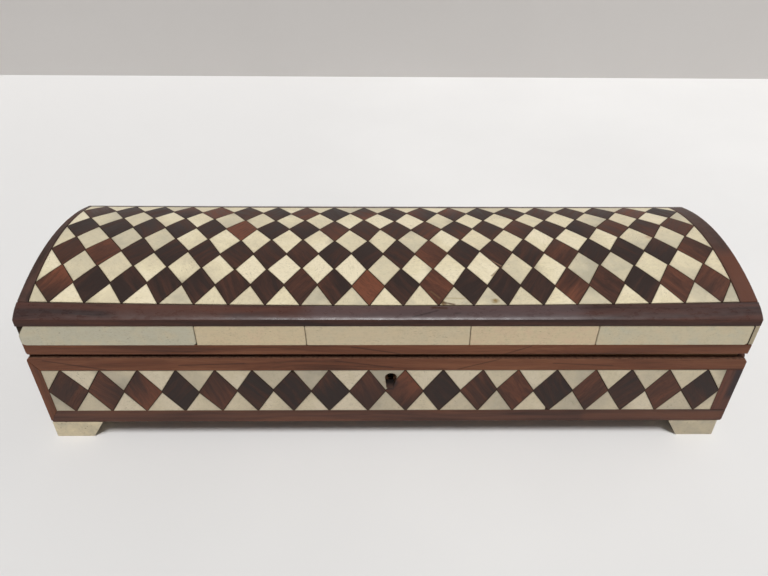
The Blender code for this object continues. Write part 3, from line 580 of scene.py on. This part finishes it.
def metal(name, colour, tarnish, roughness):
    """Metal with cloudy tarnish and fine brushed lines."""
    look = Finish(name, roughness=roughness, metallic=1.0)
    position = look.position()
    cloud = look.noise(position, 700.0, 5.0, 0.7)
    brushed = look.grained(position, (300.0, 3000.0, 3000.0), 2.0, 0.5)
    mixed = look.mix(look.span(cloud, 0.3, 0.75, 0.1, 0.75), colour, tarnish)
    look.bump(brushed, 0.01 * MM)
    return look.done(mixed, look.span(cloud, 0.35, 0.7, roughness, min(roughness + 0.3, 0.9)))


def slot_wood_with_painted_shade(name):
    """Brown wood with painted shade that darkens it upwards, into the keyhole."""
    look = Finish(name, roughness=0.8, specular=0.1)
    height = look.node("SeparateXYZ", {0: look.position()}, output=2)
    # Painted shade: brown at the ramp's foot, near black where it meets the hole
    share = look.span(height, KEYHOLE_Z - 6.6 * MM, KEYHOLE_Z - 4.2 * MM)
    return look.done(look.ramp(share, [(0.0, (88, 46, 34)), (0.5, (48, 28, 22)), (1.0, (12, 8, 7))]))


def dull(name, colour):
    """Glue, grime and dark hollows."""
    look = Finish(name, roughness=0.9, specular=0.1)
    cloud = look.noise(look.position(), 900.0, 3.0, 0.6)
    darker, paler = ([part * by for part in colour] for by in (0.6, 1.4))
    return look.done(look.mix(look.span(cloud, 0.3, 0.7), darker, paler))


def in_metres(*marks):
    """Marks of wear, stains, grain and painted sheen from rows in millimetres: from, to, half width, colour
    and strength.
    """
    return [([part * MM for part in start], [part * MM for part in end], width * MM, colour, share)
            for start, end, width, colour, share in marks]


BONE_MARKS = in_metres(((43.2, -39.1, 71.4), (44.0, -39.0, 71.4), 1.5, (240, 155, 50), 1.0),
                       ((119.7, 1.0, 78.2), (120.3, 1.0, 78.2), 1.8, (360, 200, 100), 0.6),
                       ((22.5, -37.5, 71.7), (31.0, -37.8, 71.7), 0.6, (360, 280, 150), 0.5),
                       ((17.5, -33.0, 72.6), (22.2, -40.8, 71.0), 1.5, (160, 100, 40), 1.0),
                       ((20.5, -39.5, 71.3), (26.5, -40.8, 71.0), 0.7, (100, 55, 30), 0.9),
                       ((49.0, -19.5, 75.3), (44.0, -25.0, 74.5), 0.8, (200, 130, 70), 0.8))
SCRATCHES = in_metres(((40.5, -10.6, 76.1), (49.0, -19.0, 75.4), 0.45, (240, 140, 90), 0.85),
                      ((17.0, -33.8, 72.4), (20.5, -37.5, 71.6), 0.5, (140, 80, 40), 0.7))
DARK_GRAIN = in_metres(*(
    ((x0, -48.4, z0), (x1, -48.4, z1), width, (45, 18, 11), 0.6)
    for x0, z0, x1, z1, width in (
        (-146.8, 46.8, -121.4, 41.5, 0.5), (-23.5, 46.5, 1.3, 42.6, 0.45), (29.1, 41.6, 46.4, 47.2, 0.4),
        (-16.3, 54.3, 3.9, 50.6, 0.5), (48.2, 50.1, 59.4, 54.7, 0.4), (-90.0, 44.0, -62.0, 45.2, 0.4),
        (70.0, 45.0, 96.0, 43.5, 0.4))))
# On the front nosing. The first mark, a pale greyish patch along the middle of the top, is painted sheen
# where the overhead light gleams, with some weathering; then a worn reddish patch, a stain and dark cracks by
# the chips
NOSING_WEAR_AND_SHEEN = in_metres(((-30.0, -44.0, 70.0), (75.0, -44.0, 70.0), 9.0, (108, 76, 77), 0.55),
                        ((-110.0, -44.0, 70.0), (-70.0, -44.0, 70.0), 7.0, (105, 48, 36), 0.5),
                        ((17.0, -42.5, 70.3), (23.0, -42.8, 70.3), 0.9, (55, 22, 12), 0.8),
                        ((9.0, -47.0, 69.0), (16.0, -45.2, 69.7), 0.6, (20, 11, 10), 0.9),
                        ((16.0, -45.2, 69.7), (19.5, -44.0, 70.0), 0.5, (20, 11, 10), 0.9),
                        ((26.5, -45.5, 69.6), (28.5, -45.3, 69.6), 0.6, (20, 11, 10), 0.8))
BAND_WEAR = in_metres(((149.0, -44.0, 70.5), (149.0, -16.0, 77.0), 7.0, (125, 46, 27), 0.8))
STILE_WEAR = in_metres(((153.0, -48.4, 40.0), (153.0, -48.4, 26.0), 3.6, (30, 22, 24), 0.85))
BOTTOM_WEAR = in_metres(((90.0, -48.4, 12.5), (150.0, -48.4, 13.0), 3.0, (150, 58, 32), 0.5))

BONE_TILE = bone_finish("bone_tiles", stains=BONE_MARKS)
BASE_BONE = bone_finish("base_bone_tiles", gain=(0.87, 0.85, 0.87))
STRIP_BONE = bone_finish("bone_strips", STRIP_TONES, (1.03, 1.02, 1.0))
BONE_BLOCK = bone_finish("bone_blocks", gain=(0.96, 0.93, 0.9), tiles=False)
SHADED_BLOCK = bone_finish("shaded_bone_block", gain=(0.75, 0.73, 0.74), tiles=False)
TILE_WOOD = tile_wood("rosewood_tiles", SCRATCHES)
REDDISH = strip_wood("reddish_strips", (78, 28, 15), (150, 52, 25), (215, 85, 42), worn=DARK_GRAIN)
REDDISH_Y = strip_wood("end_strips", (50, 22, 16), (85, 33, 20), (140, 50, 28), axis=1)
REDDISH_Z = strip_wood("reddish_stiles", (78, 28, 16), (140, 50, 25), (195, 76, 40), axis=2)
BAND_WOOD = strip_wood("edge_bands", (40, 24, 20), (66, 36, 29), (95, 46, 34), axis=1, worn=BAND_WEAR)
STILE_WOOD = strip_wood("dark_stile", (56, 24, 19), (95, 38, 27), (140, 52, 33), axis=2, worn=STILE_WEAR)
BOTTOM_WOOD = strip_wood("bottom_strips", (52, 24, 18), (95, 41, 28), (155, 64, 38), worn=BOTTOM_WEAR)
BOTTOM_WOOD_Y = strip_wood("end_bottom_strips", (52, 24, 18), (95, 41, 28), (150, 62, 38), axis=1)
# The nosing's worn marks include a painted sheen along the middle of its top
NOSING_WOOD = strip_wood("nosing_wood", (38, 21, 19), (62, 30, 25), (92, 38, 28), (0.22, 0.4), gloss=0.32,
                         worn=NOSING_WEAR_AND_SHEEN, wavy=4.0)
NOSING_FACE = strip_wood("nosing_face", (38, 21, 18), (64, 31, 24), (96, 41, 29), gloss=0.12)
INNER_WOOD = strip_wood("inner_wood", (150, 70, 38), (230, 115, 60), (300, 160, 85), (0.55, 0.7), 9.0, 190.0)
BRASS = metal("aged_brass", (560, 380, 160), (170, 110, 60), 0.3)
STEEL = metal("old_steel", (360, 350, 340), (90, 70, 60), 0.38)
FILLER = dull("glue_and_grime", (32, 20, 13))
# The worn slot's wood, with painted shade towards the keyhole
SLOT_WOOD = slot_wood_with_painted_shade("worn_slot")
RIM_GRIME = dull("rim_grime", (110, 56, 36))


# ---- the lid's inlay

def dome_drift(x, along, share_x, share_y):
    """The lozenges crowd towards mid length and lean a little, as they were laid by hand."""
    u = 2 * share_x - 1
    x += (-2.65 * share_y * (1 - u) / 2 - 3.08 * (1 - u * u) * u - 2.3 * (1 - u * u) * share_y) * MM
    along += (4.8 + 3.6 * u) * share_y * (1 - share_y) * MM
    return x, along


def lay_field(name, lattice, place, seed, thickness, reddish, slope, bone_material):
    """Bone and wood tiles over one field, each kind one piece."""
    dice = random.Random(seed)
    bone, wood = Pieces(), Pieces()
    for key, (outline, _) in lattice.dark():
        kind = reddish.get(key, dice.triangular(0.0, 0.5, 0.12))
        lay_tile(wood, outline, place, thickness, dice, [WOOD_JOINT] * 4,
                 dice.choice((-slope, slope)) + dice.gauss(0, 0.12), wood_look(outline, dice, kind))
    for key, (outline, border) in lattice.light():
        joints = [(BORDER_JOINT if outer else dice.uniform(*BONE_JOINTS)) * MM for outer in border]
        lay_tile(bone, outline, place, thickness, dice, joints, dice.uniform(0, pi), bone_look(outline, dice))
    fields = ((bone, "_bone_tiles", bone_material), (wood, "_wood_tiles", TILE_WOOD))
    return [bevel(outward(pieces.build(name + part, finish)), TILE_EDGE) for pieces, part, finish in fields]


def settle(piece, body, node, slot):
    """Hides the node that the piece replaces, if any, and hangs the piece on the body that it rides. The
    material slot is not used.
    """
    if node:
        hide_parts(node)
    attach(piece, body)


def settle_inlay(bone, wood, filler, body, node):
    settle(bone, body, node + "_bone", "bone")
    settle(wood, body, node + "_lozenges", "inlay_wood")
    settle(filler, body, None, "inlay_wood")


def by_row(*rows):
    """Kinds of lozenges by column and row, from the kinds by column in each row."""
    return {(column, row): kind for row, kinds in enumerate(rows) for column, kind in kinds.items()}


# The reddest and blackest lozenges of the lid and of the front, numbered from the front left
DOME_KINDS = by_row({0: 0.68, 1: 0.03, 2: 0.03, 9: 0.98, 11: 0.64, 12: 0.03, 13: 0.03, 15: 0.56, 17: 0.03,
                     18: 0.6, 19: 0.55},
                    {1: 0.66, 3: 0.03, 8: 0.03, 11: 0.62, 15: 0.56, 16: 0.03, 17: 0.03, 18: 0.03, 19: 0.52},
                    {1: 0.03, 5: 0.85, 8: 0.5, 11: 0.5, 19: 0.45},
                    {4: 0.7, 7: 0.5, 12: 0.5, 18: 0.62})
FRONT_KINDS = by_row({1: 0.58, 2: 0.64, 3: 0.05, 4: 0.5, 7: 0.03, 8: 0.46, 9: 0.68, 10: 0.03, 11: 0.4,
                      12: 0.68, 13: 0.06, 14: 0.55, 16: 0.6})


def dome_inlay():
    """The lozenges of the lid over their filler."""
    low, high = LEFT + LEFT_BAND, RIGHT - RIGHT_BAND
    lattice = Lattice(low, high, 0.0, DOME_ARC, 20, 4, 11, (0.3 * MM, 0.45 * MM), dome_drift)
    bone, wood = lay_field("dome", lattice, on_dome, 5, 1.4 * MM, DOME_KINDS, 0.95, BONE_TILE)
    filler = ground("dome_filler", low, high, 0.0, DOME_ARC, on_dome, 40, 16, dome_drift)
    settle_inlay(bone, wood, filler, "lid", "dome")


def plank(name, outline, finish, node, slot, depths=(0.0, SKIN), edge=STRIP_EDGE):
    """A strip of wood with slightly worn edges, on the body and the side that its name begins with."""
    body, side = name.split("_")[:2]
    place = SIDES[body][side]
    rings = [[place(along, up, depth) for along, up in outline] for depth in depths]
    piece = bevel(solid(name, rings, finish), edge, 3)
    settle(piece, body, node and f"{body}_{side}_{node}", slot)
    return piece


def base_band(name, low, high, columns, seed):
    """The lozenge band on one side of the base, over its filler."""
    side, base = SIDES["base"][name], "base_" + name
    lattice = Lattice(low, high, Z_BAND, Z_TOP_STRIP, columns, 1, seed, (0.4 * MM, 0.35 * MM))
    reddish = FRONT_KINDS if name == "front" else {(k, 0): 0.6 for k in range(1, columns, 3)}
    bone, wood = lay_field(base, lattice, side, seed + 20, 1.2 * MM, reddish, 0.98, BASE_BONE)
    filler = ground(base + "_filler", low, high, Z_BAND, Z_TOP_STRIP, side, 1, 1)
    if name == "front":
        for piece in (bone, wood, filler):
            baked(piece, keyhole_cutter())
    settle_inlay(bone, wood, filler, "base", base)


def front_frame(start, end, low, high):
    """The strips round the front inlay: mitred at the left, butted at the right, with worn corners."""
    tight = STRIP_JOINT
    top = [(low + tight, Z_TOP_STRIP + tight), (end, Z_TOP_STRIP + tight), (end, Z_RIM - 3.2 * MM),
           (end - 1.2 * MM, Z_RIM - 1.6 * MM), (start + 1.4 * MM, Z_RIM - 0.3 * MM),
           (start + 2 * tight, Z_RIM - 1.7 * MM)]
    bottom = [(start + 0.7 * MM, Z_BASE), (end - 0.5 * MM, Z_BASE), (end, Z_BASE + 1.0 * MM),
              (end, Z_BAND - tight), (low, Z_BAND - tight), (start + 0.3 * MM, Z_BASE + 0.45 * MM)]
    left = [(start + 0.3 * MM, Z_BASE + 0.5 * MM), (low - tight, Z_BAND), (low - tight, Z_TOP_STRIP),
            (start, Z_RIM - 1.9 * MM), (start, Z_BASE + 1.0 * MM)]
    right = oblong(high + tight, Z_BAND + tight, end, Z_TOP_STRIP - tight)
    for part, outline, finish, node, slot in (
            ("rim", top, REDDISH, "top_strip", "reddish_wood"),
            ("foot", bottom, BOTTOM_WOOD, "bottom_strip", "dark_wood"),
            ("left", left, REDDISH_Z, "left_stile", "reddish_wood"),
            ("right", right, STILE_WOOD, "right_stile", "reddish_wood")):
        piece = plank("base_front_" + part, outline, finish, node, slot)
        if part == "rim":
            refaced(piece, RIM_GRIME, lambda normal: normal.z > 0.9)


def end_frame(name, start, end, low, high, skin):
    """The top strip and stiles on the left or right end. The top strip's front corner is worn off."""
    bottom, top = Z_BAND + STRIP_JOINT, Z_TOP_STRIP - STRIP_JOINT
    worn, drop, run = oblong(start, Z_TOP_STRIP + STRIP_JOINT, end, Z_RIM), 2.0 * MM, 2.5 * MM
    if name == "left":
        worn[2:3] = (end, Z_RIM - drop), (end - run, Z_RIM)
    else:
        worn[3:] = (start + run, Z_RIM), (start, Z_RIM - drop)
    for part, outline, finish in (
            ("rim", worn, REDDISH_Y),
            ("left", oblong(start, bottom, low - STRIP_JOINT, top), REDDISH_Z),
            ("right", oblong(high + STRIP_JOINT, bottom, end, top), REDDISH_Z)):
        plank(f"base_{name}_{part}", outline, finish, "frame", "reddish_wood", (0.0, skin), END_STRIP_EDGE)


def worn_slot():
    """The ramp below the keyhole, worn into the wood by the key."""
    outline = [(-2.1, -3.1), (-1.9, -6.1), (1.0, -6.1), (1.6, -3.1)]
    rings = [[(KEYHOLE_X + x * MM, FRONT + depth * MM, KEYHOLE_Z + z * MM)
              for (x, z), depth in zip(outline, depths)] for depths in ((2.2, 0.03, 0.03, 2.2), (2.25,) * 4)]
    settle(solid("worn_slot", rings, SLOT_WOOD), "base", None, "dark_wood")


def side_fields():
    """The lozenge bands on the four sides of the base, and the strips round them."""
    ends, end_skin = DEPTH / 2 - SKIN - GAP, SKIN + OVERHANG
    rows = (("front", BASE_LEFT, BASE_RIGHT, LEFT_STILE, RIGHT_STILE, 18, 3, SKIN),
            ("back", -BASE_RIGHT, -BASE_LEFT, RIGHT_STILE, LEFT_STILE, 18, 4, SKIN),
            ("left", -ends, ends, END_STILE, END_STILE, 5, 5, end_skin),
            ("right", -ends, ends, END_STILE, END_STILE, 5, 6, end_skin))
    for name, start, end, first, last, columns, seed, skin in rows:
        low, high = start + first, end - last
        base_band(name, low, high, columns, seed)
        if name == "front":
            front_frame(start, end, low, high)
            continue
        plank(f"base_{name}_foot", oblong(start, Z_BASE, end, Z_BAND - STRIP_JOINT),
              BOTTOM_WOOD if name == "back" else BOTTOM_WOOD_Y, "bottom_strip", "dark_wood", (0.0, skin))
        if name != "back":
            end_frame(name, start, end, low, high, skin)
    worn_slot()


def keyhole_cutter():
    """A round hole, with a slot below it that the key has worn wide and shallow."""
    outline = [(KEYHOLE_RADIUS * cos(pi * k / 20), KEYHOLE_RADIUS * sin(pi * k / 20)) for k in range(21)]
    outline += [(-1.9 * MM, -6.0 * MM), (-0.5 * MM, -6.3 * MM), (1.0 * MM, -6.0 * MM), (2.35 * MM, -0.8 * MM)]
    rings = [[(KEYHOLE_X + x, FRONT + depth, KEYHOLE_Z + z) for x, z in outline]
             for depth in (-1 * MM, 4 * MM)]
    return solid("keyhole_cutter", rings, FILLER)


# ---- strips of bone and wood on the lid

# The strips on each side: where they meet, in shares of the side, and their tones
STRIPS = {"front": ((0.238, 0.388, 0.613, 0.788), (0.02, 0.8, 0.5, 0.9, 0.25)),
          "back": ((0.195, 0.412, 0.59, 0.806), (0.3, 0.7, 0.5, 0.9, 0.2)),
          "left": ((0.56,), (0.5, 0.8)), "right": ((0.47,), (0.3, 0.7))}


def bone_strips():
    """Bone strips round the lid, each cut a little differently, and the wood strips below them."""
    half, across = LENGTH / 2, DEPTH / 2
    out, top = SKIN + GAP, Z_BONE - STRIP_JOINT
    spans = {"front": (-half, half - SKIN - STRIP_JOINT), "back": (out - half, half),
             "left": (out - across, across - out), "right": (-across, across)}
    for name, side in SIDES["lid"].items():
        dice = random.Random(len(name) * 7)
        start, end = spans[name]
        joints, tones = STRIPS[name]
        slants = [dice.uniform(-0.5, 0.5) for _ in joints]
        if name == "front":
            slants = (0.0, -0.35, -0.2, 0.0)
        shares, leans = (0.0, *joints, 1.0), (0.0, *slants, 0.0)
        pieces = Pieces()
        for index, (first, last) in enumerate(zip(shares, shares[1:])):
            low, high = (start + (end - start) * share for share in (first, last))
            cuts = [dice.uniform(0.15, 0.45) * MM for _ in range(4)]
            gap = 0.1 * MM
            if (name, index) == ("front", 0):
                cuts[0], cuts[1], cuts[3] = 1.2 * MM, 1.3 * MM, 4.6 * MM
            elif (name, index) == ("front", 4):
                cuts[1], gap = 1.0 * MM, 0.0
            lay_strip(pieces, side, (low + 0.1 * MM * (index > 0), high - gap), leans[index:index + 2], cuts,
                      tones[index], dice)
        piece = bevel(outward(pieces.build(f"lid_{name}_strips", STRIP_BONE)), 0.14 * MM)
        settle(piece, "lid", f"lid_{name}_bone_strips", "bone")
        inner = 0.15 * MM
        plank(f"lid_{name}_strip_filler", oblong(start + inner, Z_BONE, end - inner, Z_NOSING - GAP), FILLER,
              None, "dark_wood", (0.45 * MM, 2.2 * MM), TILE_EDGE)
        if name == "back":
            continue
        outline, finish = oblong(out - across, Z_LID, across - out, top), REDDISH_Y
        if name == "front":
            outline = [(0.5 * MM - half, Z_LID), (half - 0.2 * MM, Z_LID), (half, top),
                       (2.6 * MM - half, top), (-half, top + 1.0 * MM), (-half, Z_LID + 0.9 * MM)]
            finish = REDDISH
        plank(f"lid_{name}_rim", outline, finish, "lower_strip", "reddish_wood")


STRIP_SHARES_UP = (0.0, 0.02, 0.05, 0.09, 0.15, 0.3, 0.5, 0.7, 0.78, 0.85, 0.91, 0.95, 0.98, 1.0)
STRIP_SHARES_ALONG = (0.0, 0.004, 0.012, 0.05, 0.25, 0.5, 0.75, 0.95, 0.988, 0.996, 1.0)


def lay_strip(pieces, side, span, leans, cuts, tone, dice):
    """One long strip. Its slanted ends have corners worn by the cuts, anticlockwise from the low left."""
    bottom, top = Z_BONE + STRIP_JOINT, Z_NOSING - 0.12 * MM
    rise = top - bottom
    start = [dice.uniform(0, 1) for _ in range(3)]

    def rounded(cut, away):
        return max(0.0, cut - away) ** 1.5 / cut ** 0.5

    def put(i, j, depth=0.02 * MM):
        share = STRIP_SHARES_UP[j]
        up, down = share * rise, rise - share * rise
        low = span[0] + leans[0] * MM * (share - 0.5) + rounded(cuts[0], up) + 0.7 * max(0.0, cuts[3] - down)
        high = span[1] + leans[1] * MM * (share - 0.5) - rounded(cuts[1], up) - rounded(cuts[2], down)
        along, up = low + (high - low) * STRIP_SHARES_ALONG[i], bottom + up
        edge = min(along - low, high - along, up - bottom, top - up)
        return pieces.point(side(along, up, depth), tone, 0.0, edge / MM,
                            (start[0] + along, start[1] + up, start[2]))

    pieces.block(put, len(STRIP_SHARES_ALONG) - 1, len(STRIP_SHARES_UP) - 1, 1.8 * MM)


NOSING_STEPS, EDGE_WEAR, EDGE_TURN = 150, 0.32 * MM, 62


def nosing(name, sign):
    """The moulded strip, with its edge worn round and a little uneven."""
    face = FRONT if sign > 0 else BACK
    inner = NOSING_WIDTH - GAP
    edge_y = face + sign * inner
    dice = random.Random(3 if sign > 0 else 4)
    waves = [(dice.uniform(6, 60), dice.uniform(0, 2 * pi), dice.uniform(0.02, 0.07)) for _ in range(7)]
    rings = []
    for k in range(NOSING_STEPS + 1):
        x = LEFT + LENGTH * k / NOSING_STEPS
        uneven = sum(size * sin(rate * x / 0.1 + phase) for rate, phase, size in waves) * MM
        edge_z = dome_top(x, edge_y)
        worn = EDGE_WEAR + uneven
        below = Z_CREASE - worn * 1.1
        profile = [(0.12 * MM, Z_NOSING - uneven * 0.8), (0.0, Z_NOSING + 0.25 * MM), (0.0, below)]
        for share in (0.0, 0.33, 0.66, 1.0):
            turn = share * radians(EDGE_TURN)
            profile.append((worn * (1 - cos(turn)), below + worn * 1.25 * sin(turn)))
        for share in (0.22, 0.34, 0.46, 0.58, 0.7, 0.82, 0.92):
            height = Z_CREASE + (edge_z - Z_CREASE) * share + NOSING_CROWN * sin(pi * share)
            profile.append((inner * share, height))
        profile += [(inner - 0.05 * MM, edge_z - 0.02 * MM), (inner, edge_z - 0.15 * MM),
                    (inner, edge_z - TILE), (SKIN, dome_top(x, face + sign * SKIN) - TILE), (SKIN, Z_NOSING)]
        rings.append([(x, face + sign * inwards, height) for inwards, height in profile])
    piece = solid(name, rings, NOSING_WOOD, 50)
    refaced(piece, NOSING_FACE, lambda normal: abs(normal.y) > 0.85)
    if sign > 0:
        baked(piece, chips())
    settle(piece, "lid", name, "dark_wood")


CHIPS = ((-11.7, 70.2, 1.3), (19.6, 70.6, 1.5), (22.4, 69.4, 1.1), (25.0, 71.6, 1.2), (17.0, 71.9, 1.0),
         (-118.0, 65.5, 0.9), (61.0, 65.4, 1.0), (84.0, 65.5, 0.8), (-60.5, 65.6, 0.8), (131.0, 65.5, 0.9))


def chips():
    """Small splinters that are missing from the front nosing, from x, height and size."""
    dice = random.Random(9)
    shaper = bmesh.new()
    for x, z, size in CHIPS:
        share = max(0.0, (z - 68.8) / 3.9)
        centre = Vector((x * MM, FRONT + share * (NOSING_WIDTH - GAP) - 0.1 * MM,
                         z * MM + 0.25 * MM * (share > 0)))
        made = bmesh.ops.create_icosphere(shaper, subdivisions=1, radius=size * MM * 0.5)
        for vertex in made["verts"]:
            wobble = 1 + dice.uniform(-0.3, 0.3)
            vertex.co = centre + Vector((vertex.co.x * 1.5, vertex.co.y * 0.7, vertex.co.z * 0.6)) * wobble
    mesh = bpy.data.meshes.new("chips")
    shaper.to_mesh(mesh)
    shaper.free()
    return placed("chips", mesh)


# ---- screws

SUNK_HEAD = ((0.62 * MM, -0.76 * MM), (1.23 * MM, -0.07 * MM), (1.2 * MM, -0.03 * MM))
ROUND_HEAD = ((1.25 * MM, 0.0), (1.22 * MM, 0.12 * MM), (1.0 * MM, 0.32 * MM), (0.6 * MM, 0.45 * MM))


def screw(name, place, direction, profile, body):
    """A slotted screw head from (radius, height) pairs. Its slot is turned as it happened to stop."""
    turns = [2 * pi * k / 24 for k in range(24)]
    rings = [[(radius * cos(turn), radius * sin(turn), height) for turn in turns]
             for radius, height in profile]
    piece = solid(name, rings, STEEL)
    radius, top = max(profile)[0], profile[-1][1]
    half, width, deep = radius * 1.3, radius * 0.15, radius * 0.3
    slot = [[(x, y, z) for x, y in oblong(-half, -width, half, width)] for z in (top - deep, top + radius)]
    baked(piece, solid("slot", slot, STEEL))
    turn = Vector(direction).to_track_quat("Z", "Y").to_matrix().to_4x4()
    spin = Matrix.Rotation(random.Random(name).uniform(0, pi), 4, "Z")
    piece.data.transform(Matrix.Translation(place) @ turn @ spin)
    settle(bevel(piece, 0.05 * MM), body, None, "steel")


def screws():
    """Three sunk screws in each leaf of the hinges, two in the lock's plate and two in its strike."""
    for side, middle in (("left", -95.0), ("right", 95.0)):
        for step in (-1, 0, 1):
            x, y = (middle + 10 * step) * MM, BACK - 4.6 * MM
            screw(f"{side}_base_screw_{step + 2}", (x, y, Z_RIM), (0, 0, 1), SUNK_HEAD, "base")
            screw(f"{side}_lid_screw_{step + 2}", (x, y, Z_LID), (0, 0, -1), SUNK_HEAD, "lid")
    for side, sign in (("left", -1), ("right", 1)):
        screw(side + "_plate_screw", (KEYHOLE_X + sign * 18.2 * MM, FRONT + 8.4 * MM, Z_RIM - 10.2 * MM),
              (0, 1, 0), ROUND_HEAD, "base")
        screw(side + "_strike_screw", (KEYHOLE_X + sign * 14.0 * MM, FRONT + 5.2 * MM, Z_LID), (0, 0, -1),
              ROUND_HEAD, "lid")


# ---- solids that stay, with better finishes

def worn_foot():
    """The front right foot, whose outer corner is worn to a narrow facet."""
    rings = []
    for height, inner, outer, facet in ((0.0, 18.6, 1.3, 0.4), (Z_BASE - GAP, 24.3, 0.1, 2.1)):
        near, far, behind = BASE_RIGHT - outer * MM, BASE_RIGHT - inner * MM, FRONT + inner * MM
        rings.append([(near, FRONT + facet * MM, height), (near - facet * MM, FRONT, height),
                      (far, FRONT, height), (far, behind, height), (near, behind, height)])
    piece = bevel(solid("worn_front_right_foot", rings, SHADED_BLOCK), 0.15 * MM)
    settle(piece, "base", "foot_front_right", "bone")


# How the names of the solids begin, their finish, and the width of their rounded edges in millimetres
NODE_LOOKS = (("foot.*right", SHADED_BLOCK, 0.35), ("foot", BONE_BLOCK, 0.35), ("hinge.*pin", STEEL, 0.12),
              ("hinge|lock_plate|lock_strike", BRASS, 0.12), ("key_pin|lock_case|lock_bolt", STEEL, 0.15),
              (".*_bottom_strip", BOTTOM_WOOD, 0.3), (".*(_top_strip|_frame|_lower_strip)", REDDISH, 0.3),
              (".*_stile", REDDISH_Z, 0.25), (".*_band", BAND_WOOD, 0.3), (".*_lunette", REDDISH_Y, 0.3),
              ("", INNER_WOOD, 0.25))


def finish_nodes():
    """Rounds the edges of the solids that show, and gives each its finish."""
    for name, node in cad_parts.items():
        finish, width = next(look[1:] for look in NODE_LOOKS if re.match(look[0], name))
        node.data.materials.clear()
        node.data.materials.append(finish)
        node.modifiers.new("weld", "WELD").merge_threshold = MERGE
        bevel(node, width * MM, 3)


# ---- floor, light and camera

def plane(name, corners, finish):
    mesh = bpy.data.meshes.new(name)
    mesh.from_pydata(corners, [], [(0, 1, 2, 3)])
    mesh.materials.append(finish)
    placed(name, mesh)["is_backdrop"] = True


ROOM, WALL_PLACE, WALL_HEIGHT = 3, MIDDLE + 0.476, 0.5


def surroundings():
    """The pale floor, with painted shade that makes it a little darker to the left, and the wall behind it.
    """
    floor = Finish("pale_floor", roughness=0.75, specular=0.2)
    cloud = floor.noise(floor.position(), 6.0, 3.0, 0.5)
    across = floor.node("SeparateXYZ", {0: floor.position()}, output=0)
    # Painted shade: the floor darkens towards the left, mixed with a slow cloud of tone
    paler = floor.maths("ADD", floor.span(across, -0.22, 0.05, -0.7, 0.5),
                        floor.span(cloud, 0.3, 0.7, -0.3, 0.5))
    plane("floor", [(x, y, 0) for x, y in oblong(-ROOM, -ROOM, ROOM, ROOM)],
          floor.done(floor.mix(paler, (735, 727, 720), (785, 777, 768))))
    wall = Finish("pale_wall", roughness=0.9, specular=0.1)
    cloud = wall.noise(wall.position(), 4.0, 3.0, 0.5)
    plane("wall", [(x, WALL_PLACE, z) for x, z in oblong(-ROOM, 0, ROOM, WALL_HEIGHT)],
          wall.done(wall.mix(wall.span(cloud, 0.3, 0.7), (660, 635, 615), (690, 665, 645))))


def lamp(name, kind, place, target, energy, **settings):
    light = bpy.data.lights.new(name, kind)
    light.energy = energy
    for key, value in settings.items():
        setattr(light, key, value)
    made = placed(name, light)
    made.location = place
    made.rotation_euler = (Vector(target) - Vector(place)).to_track_quat("-Z", "Y").to_euler()


def lighting():
    """Soft light from all round, a broad overhead light, and a pale background near the horizon."""
    world = bpy.data.worlds.new("soft_world")
    bpy.context.scene.world = world
    nodes = Nodes(world)
    sky = nodes.tree.nodes["Background"]
    nodes.put(sky.inputs["Color"], (1.0, 0.99, 0.97, 1.0))
    nodes.put(sky.inputs["Strength"], 0.21)
    pale = nodes.node("Background", {"Color": (0.8, 0.79, 0.775, 1.0)})
    height = nodes.node("SeparateXYZ", {0: nodes.node("TexCoord", output="Generated")}, output="Z")
    seen = nodes.node("LightPath", output="Is Camera Ray")
    for other in ("Is Glossy Ray", "Is Transmission Ray"):
        seen = nodes.maths("MAXIMUM", seen, nodes.node("LightPath", output=other))
    share = nodes.times(seen, nodes.span(height, 0.45, 0.25))
    either = nodes.node("MixShader", {0: share, 1: sky.outputs[0], 2: pale})
    nodes.put(nodes.tree.nodes["World Output"].inputs["Surface"], either)
    lamp("overhead", "SUN", (0.05, -0.52, 1.5), (0, 0, 0), 2.52, angle=radians(22))
    lamp("back_right", "AREA", (1.1, 0.35, 0.9), (0.6, 0.45, 0.0), 2.0, size=0.8)


CAMERA_PLACE = Vector((-6.67, -254.93, 233.1)) * MM
PITCH, YAW, ROLL = radians(35.697), radians(1.035), radians(0.624)
FOCAL_PIXELS, WIDTH_PIXELS, SENSOR = 650.0, 768.0, 36.0


def camera():
    """The photograph's camera, from a fit to the box's straight edges."""
    ahead = Vector((sin(YAW) * cos(PITCH), cos(YAW) * cos(PITCH), -sin(PITCH)))
    right = Vector((cos(YAW), -sin(YAW), 0.0))
    up = right.cross(ahead)
    across = right * cos(ROLL) + up * sin(ROLL)
    over = up * cos(ROLL) - right * sin(ROLL)
    data = bpy.data.cameras.new("camera")
    data.sensor_width = SENSOR
    data.lens = FOCAL_PIXELS / WIDTH_PIXELS * SENSOR
    data.clip_start = 0.01
    made = placed("camera", data)
    columns = Matrix((across, over, -ahead)).transposed().to_4x4()
    made.matrix_world = Matrix.Translation(CAMERA_PLACE) @ columns
    bpy.context.scene.camera = made
    bpy.context.scene.view_settings.view_transform = "Standard"


finish_nodes()
worn_foot()
dome_inlay()
side_fields()
bone_strips()
nosing("lid_front_nosing", 1)
nosing("lid_back_nosing", -1)
screws()
surroundings()
lighting()
camera()

plain = [[[float(part) for part in corner] for corner in box] for box in (CAD_BOX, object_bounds())]
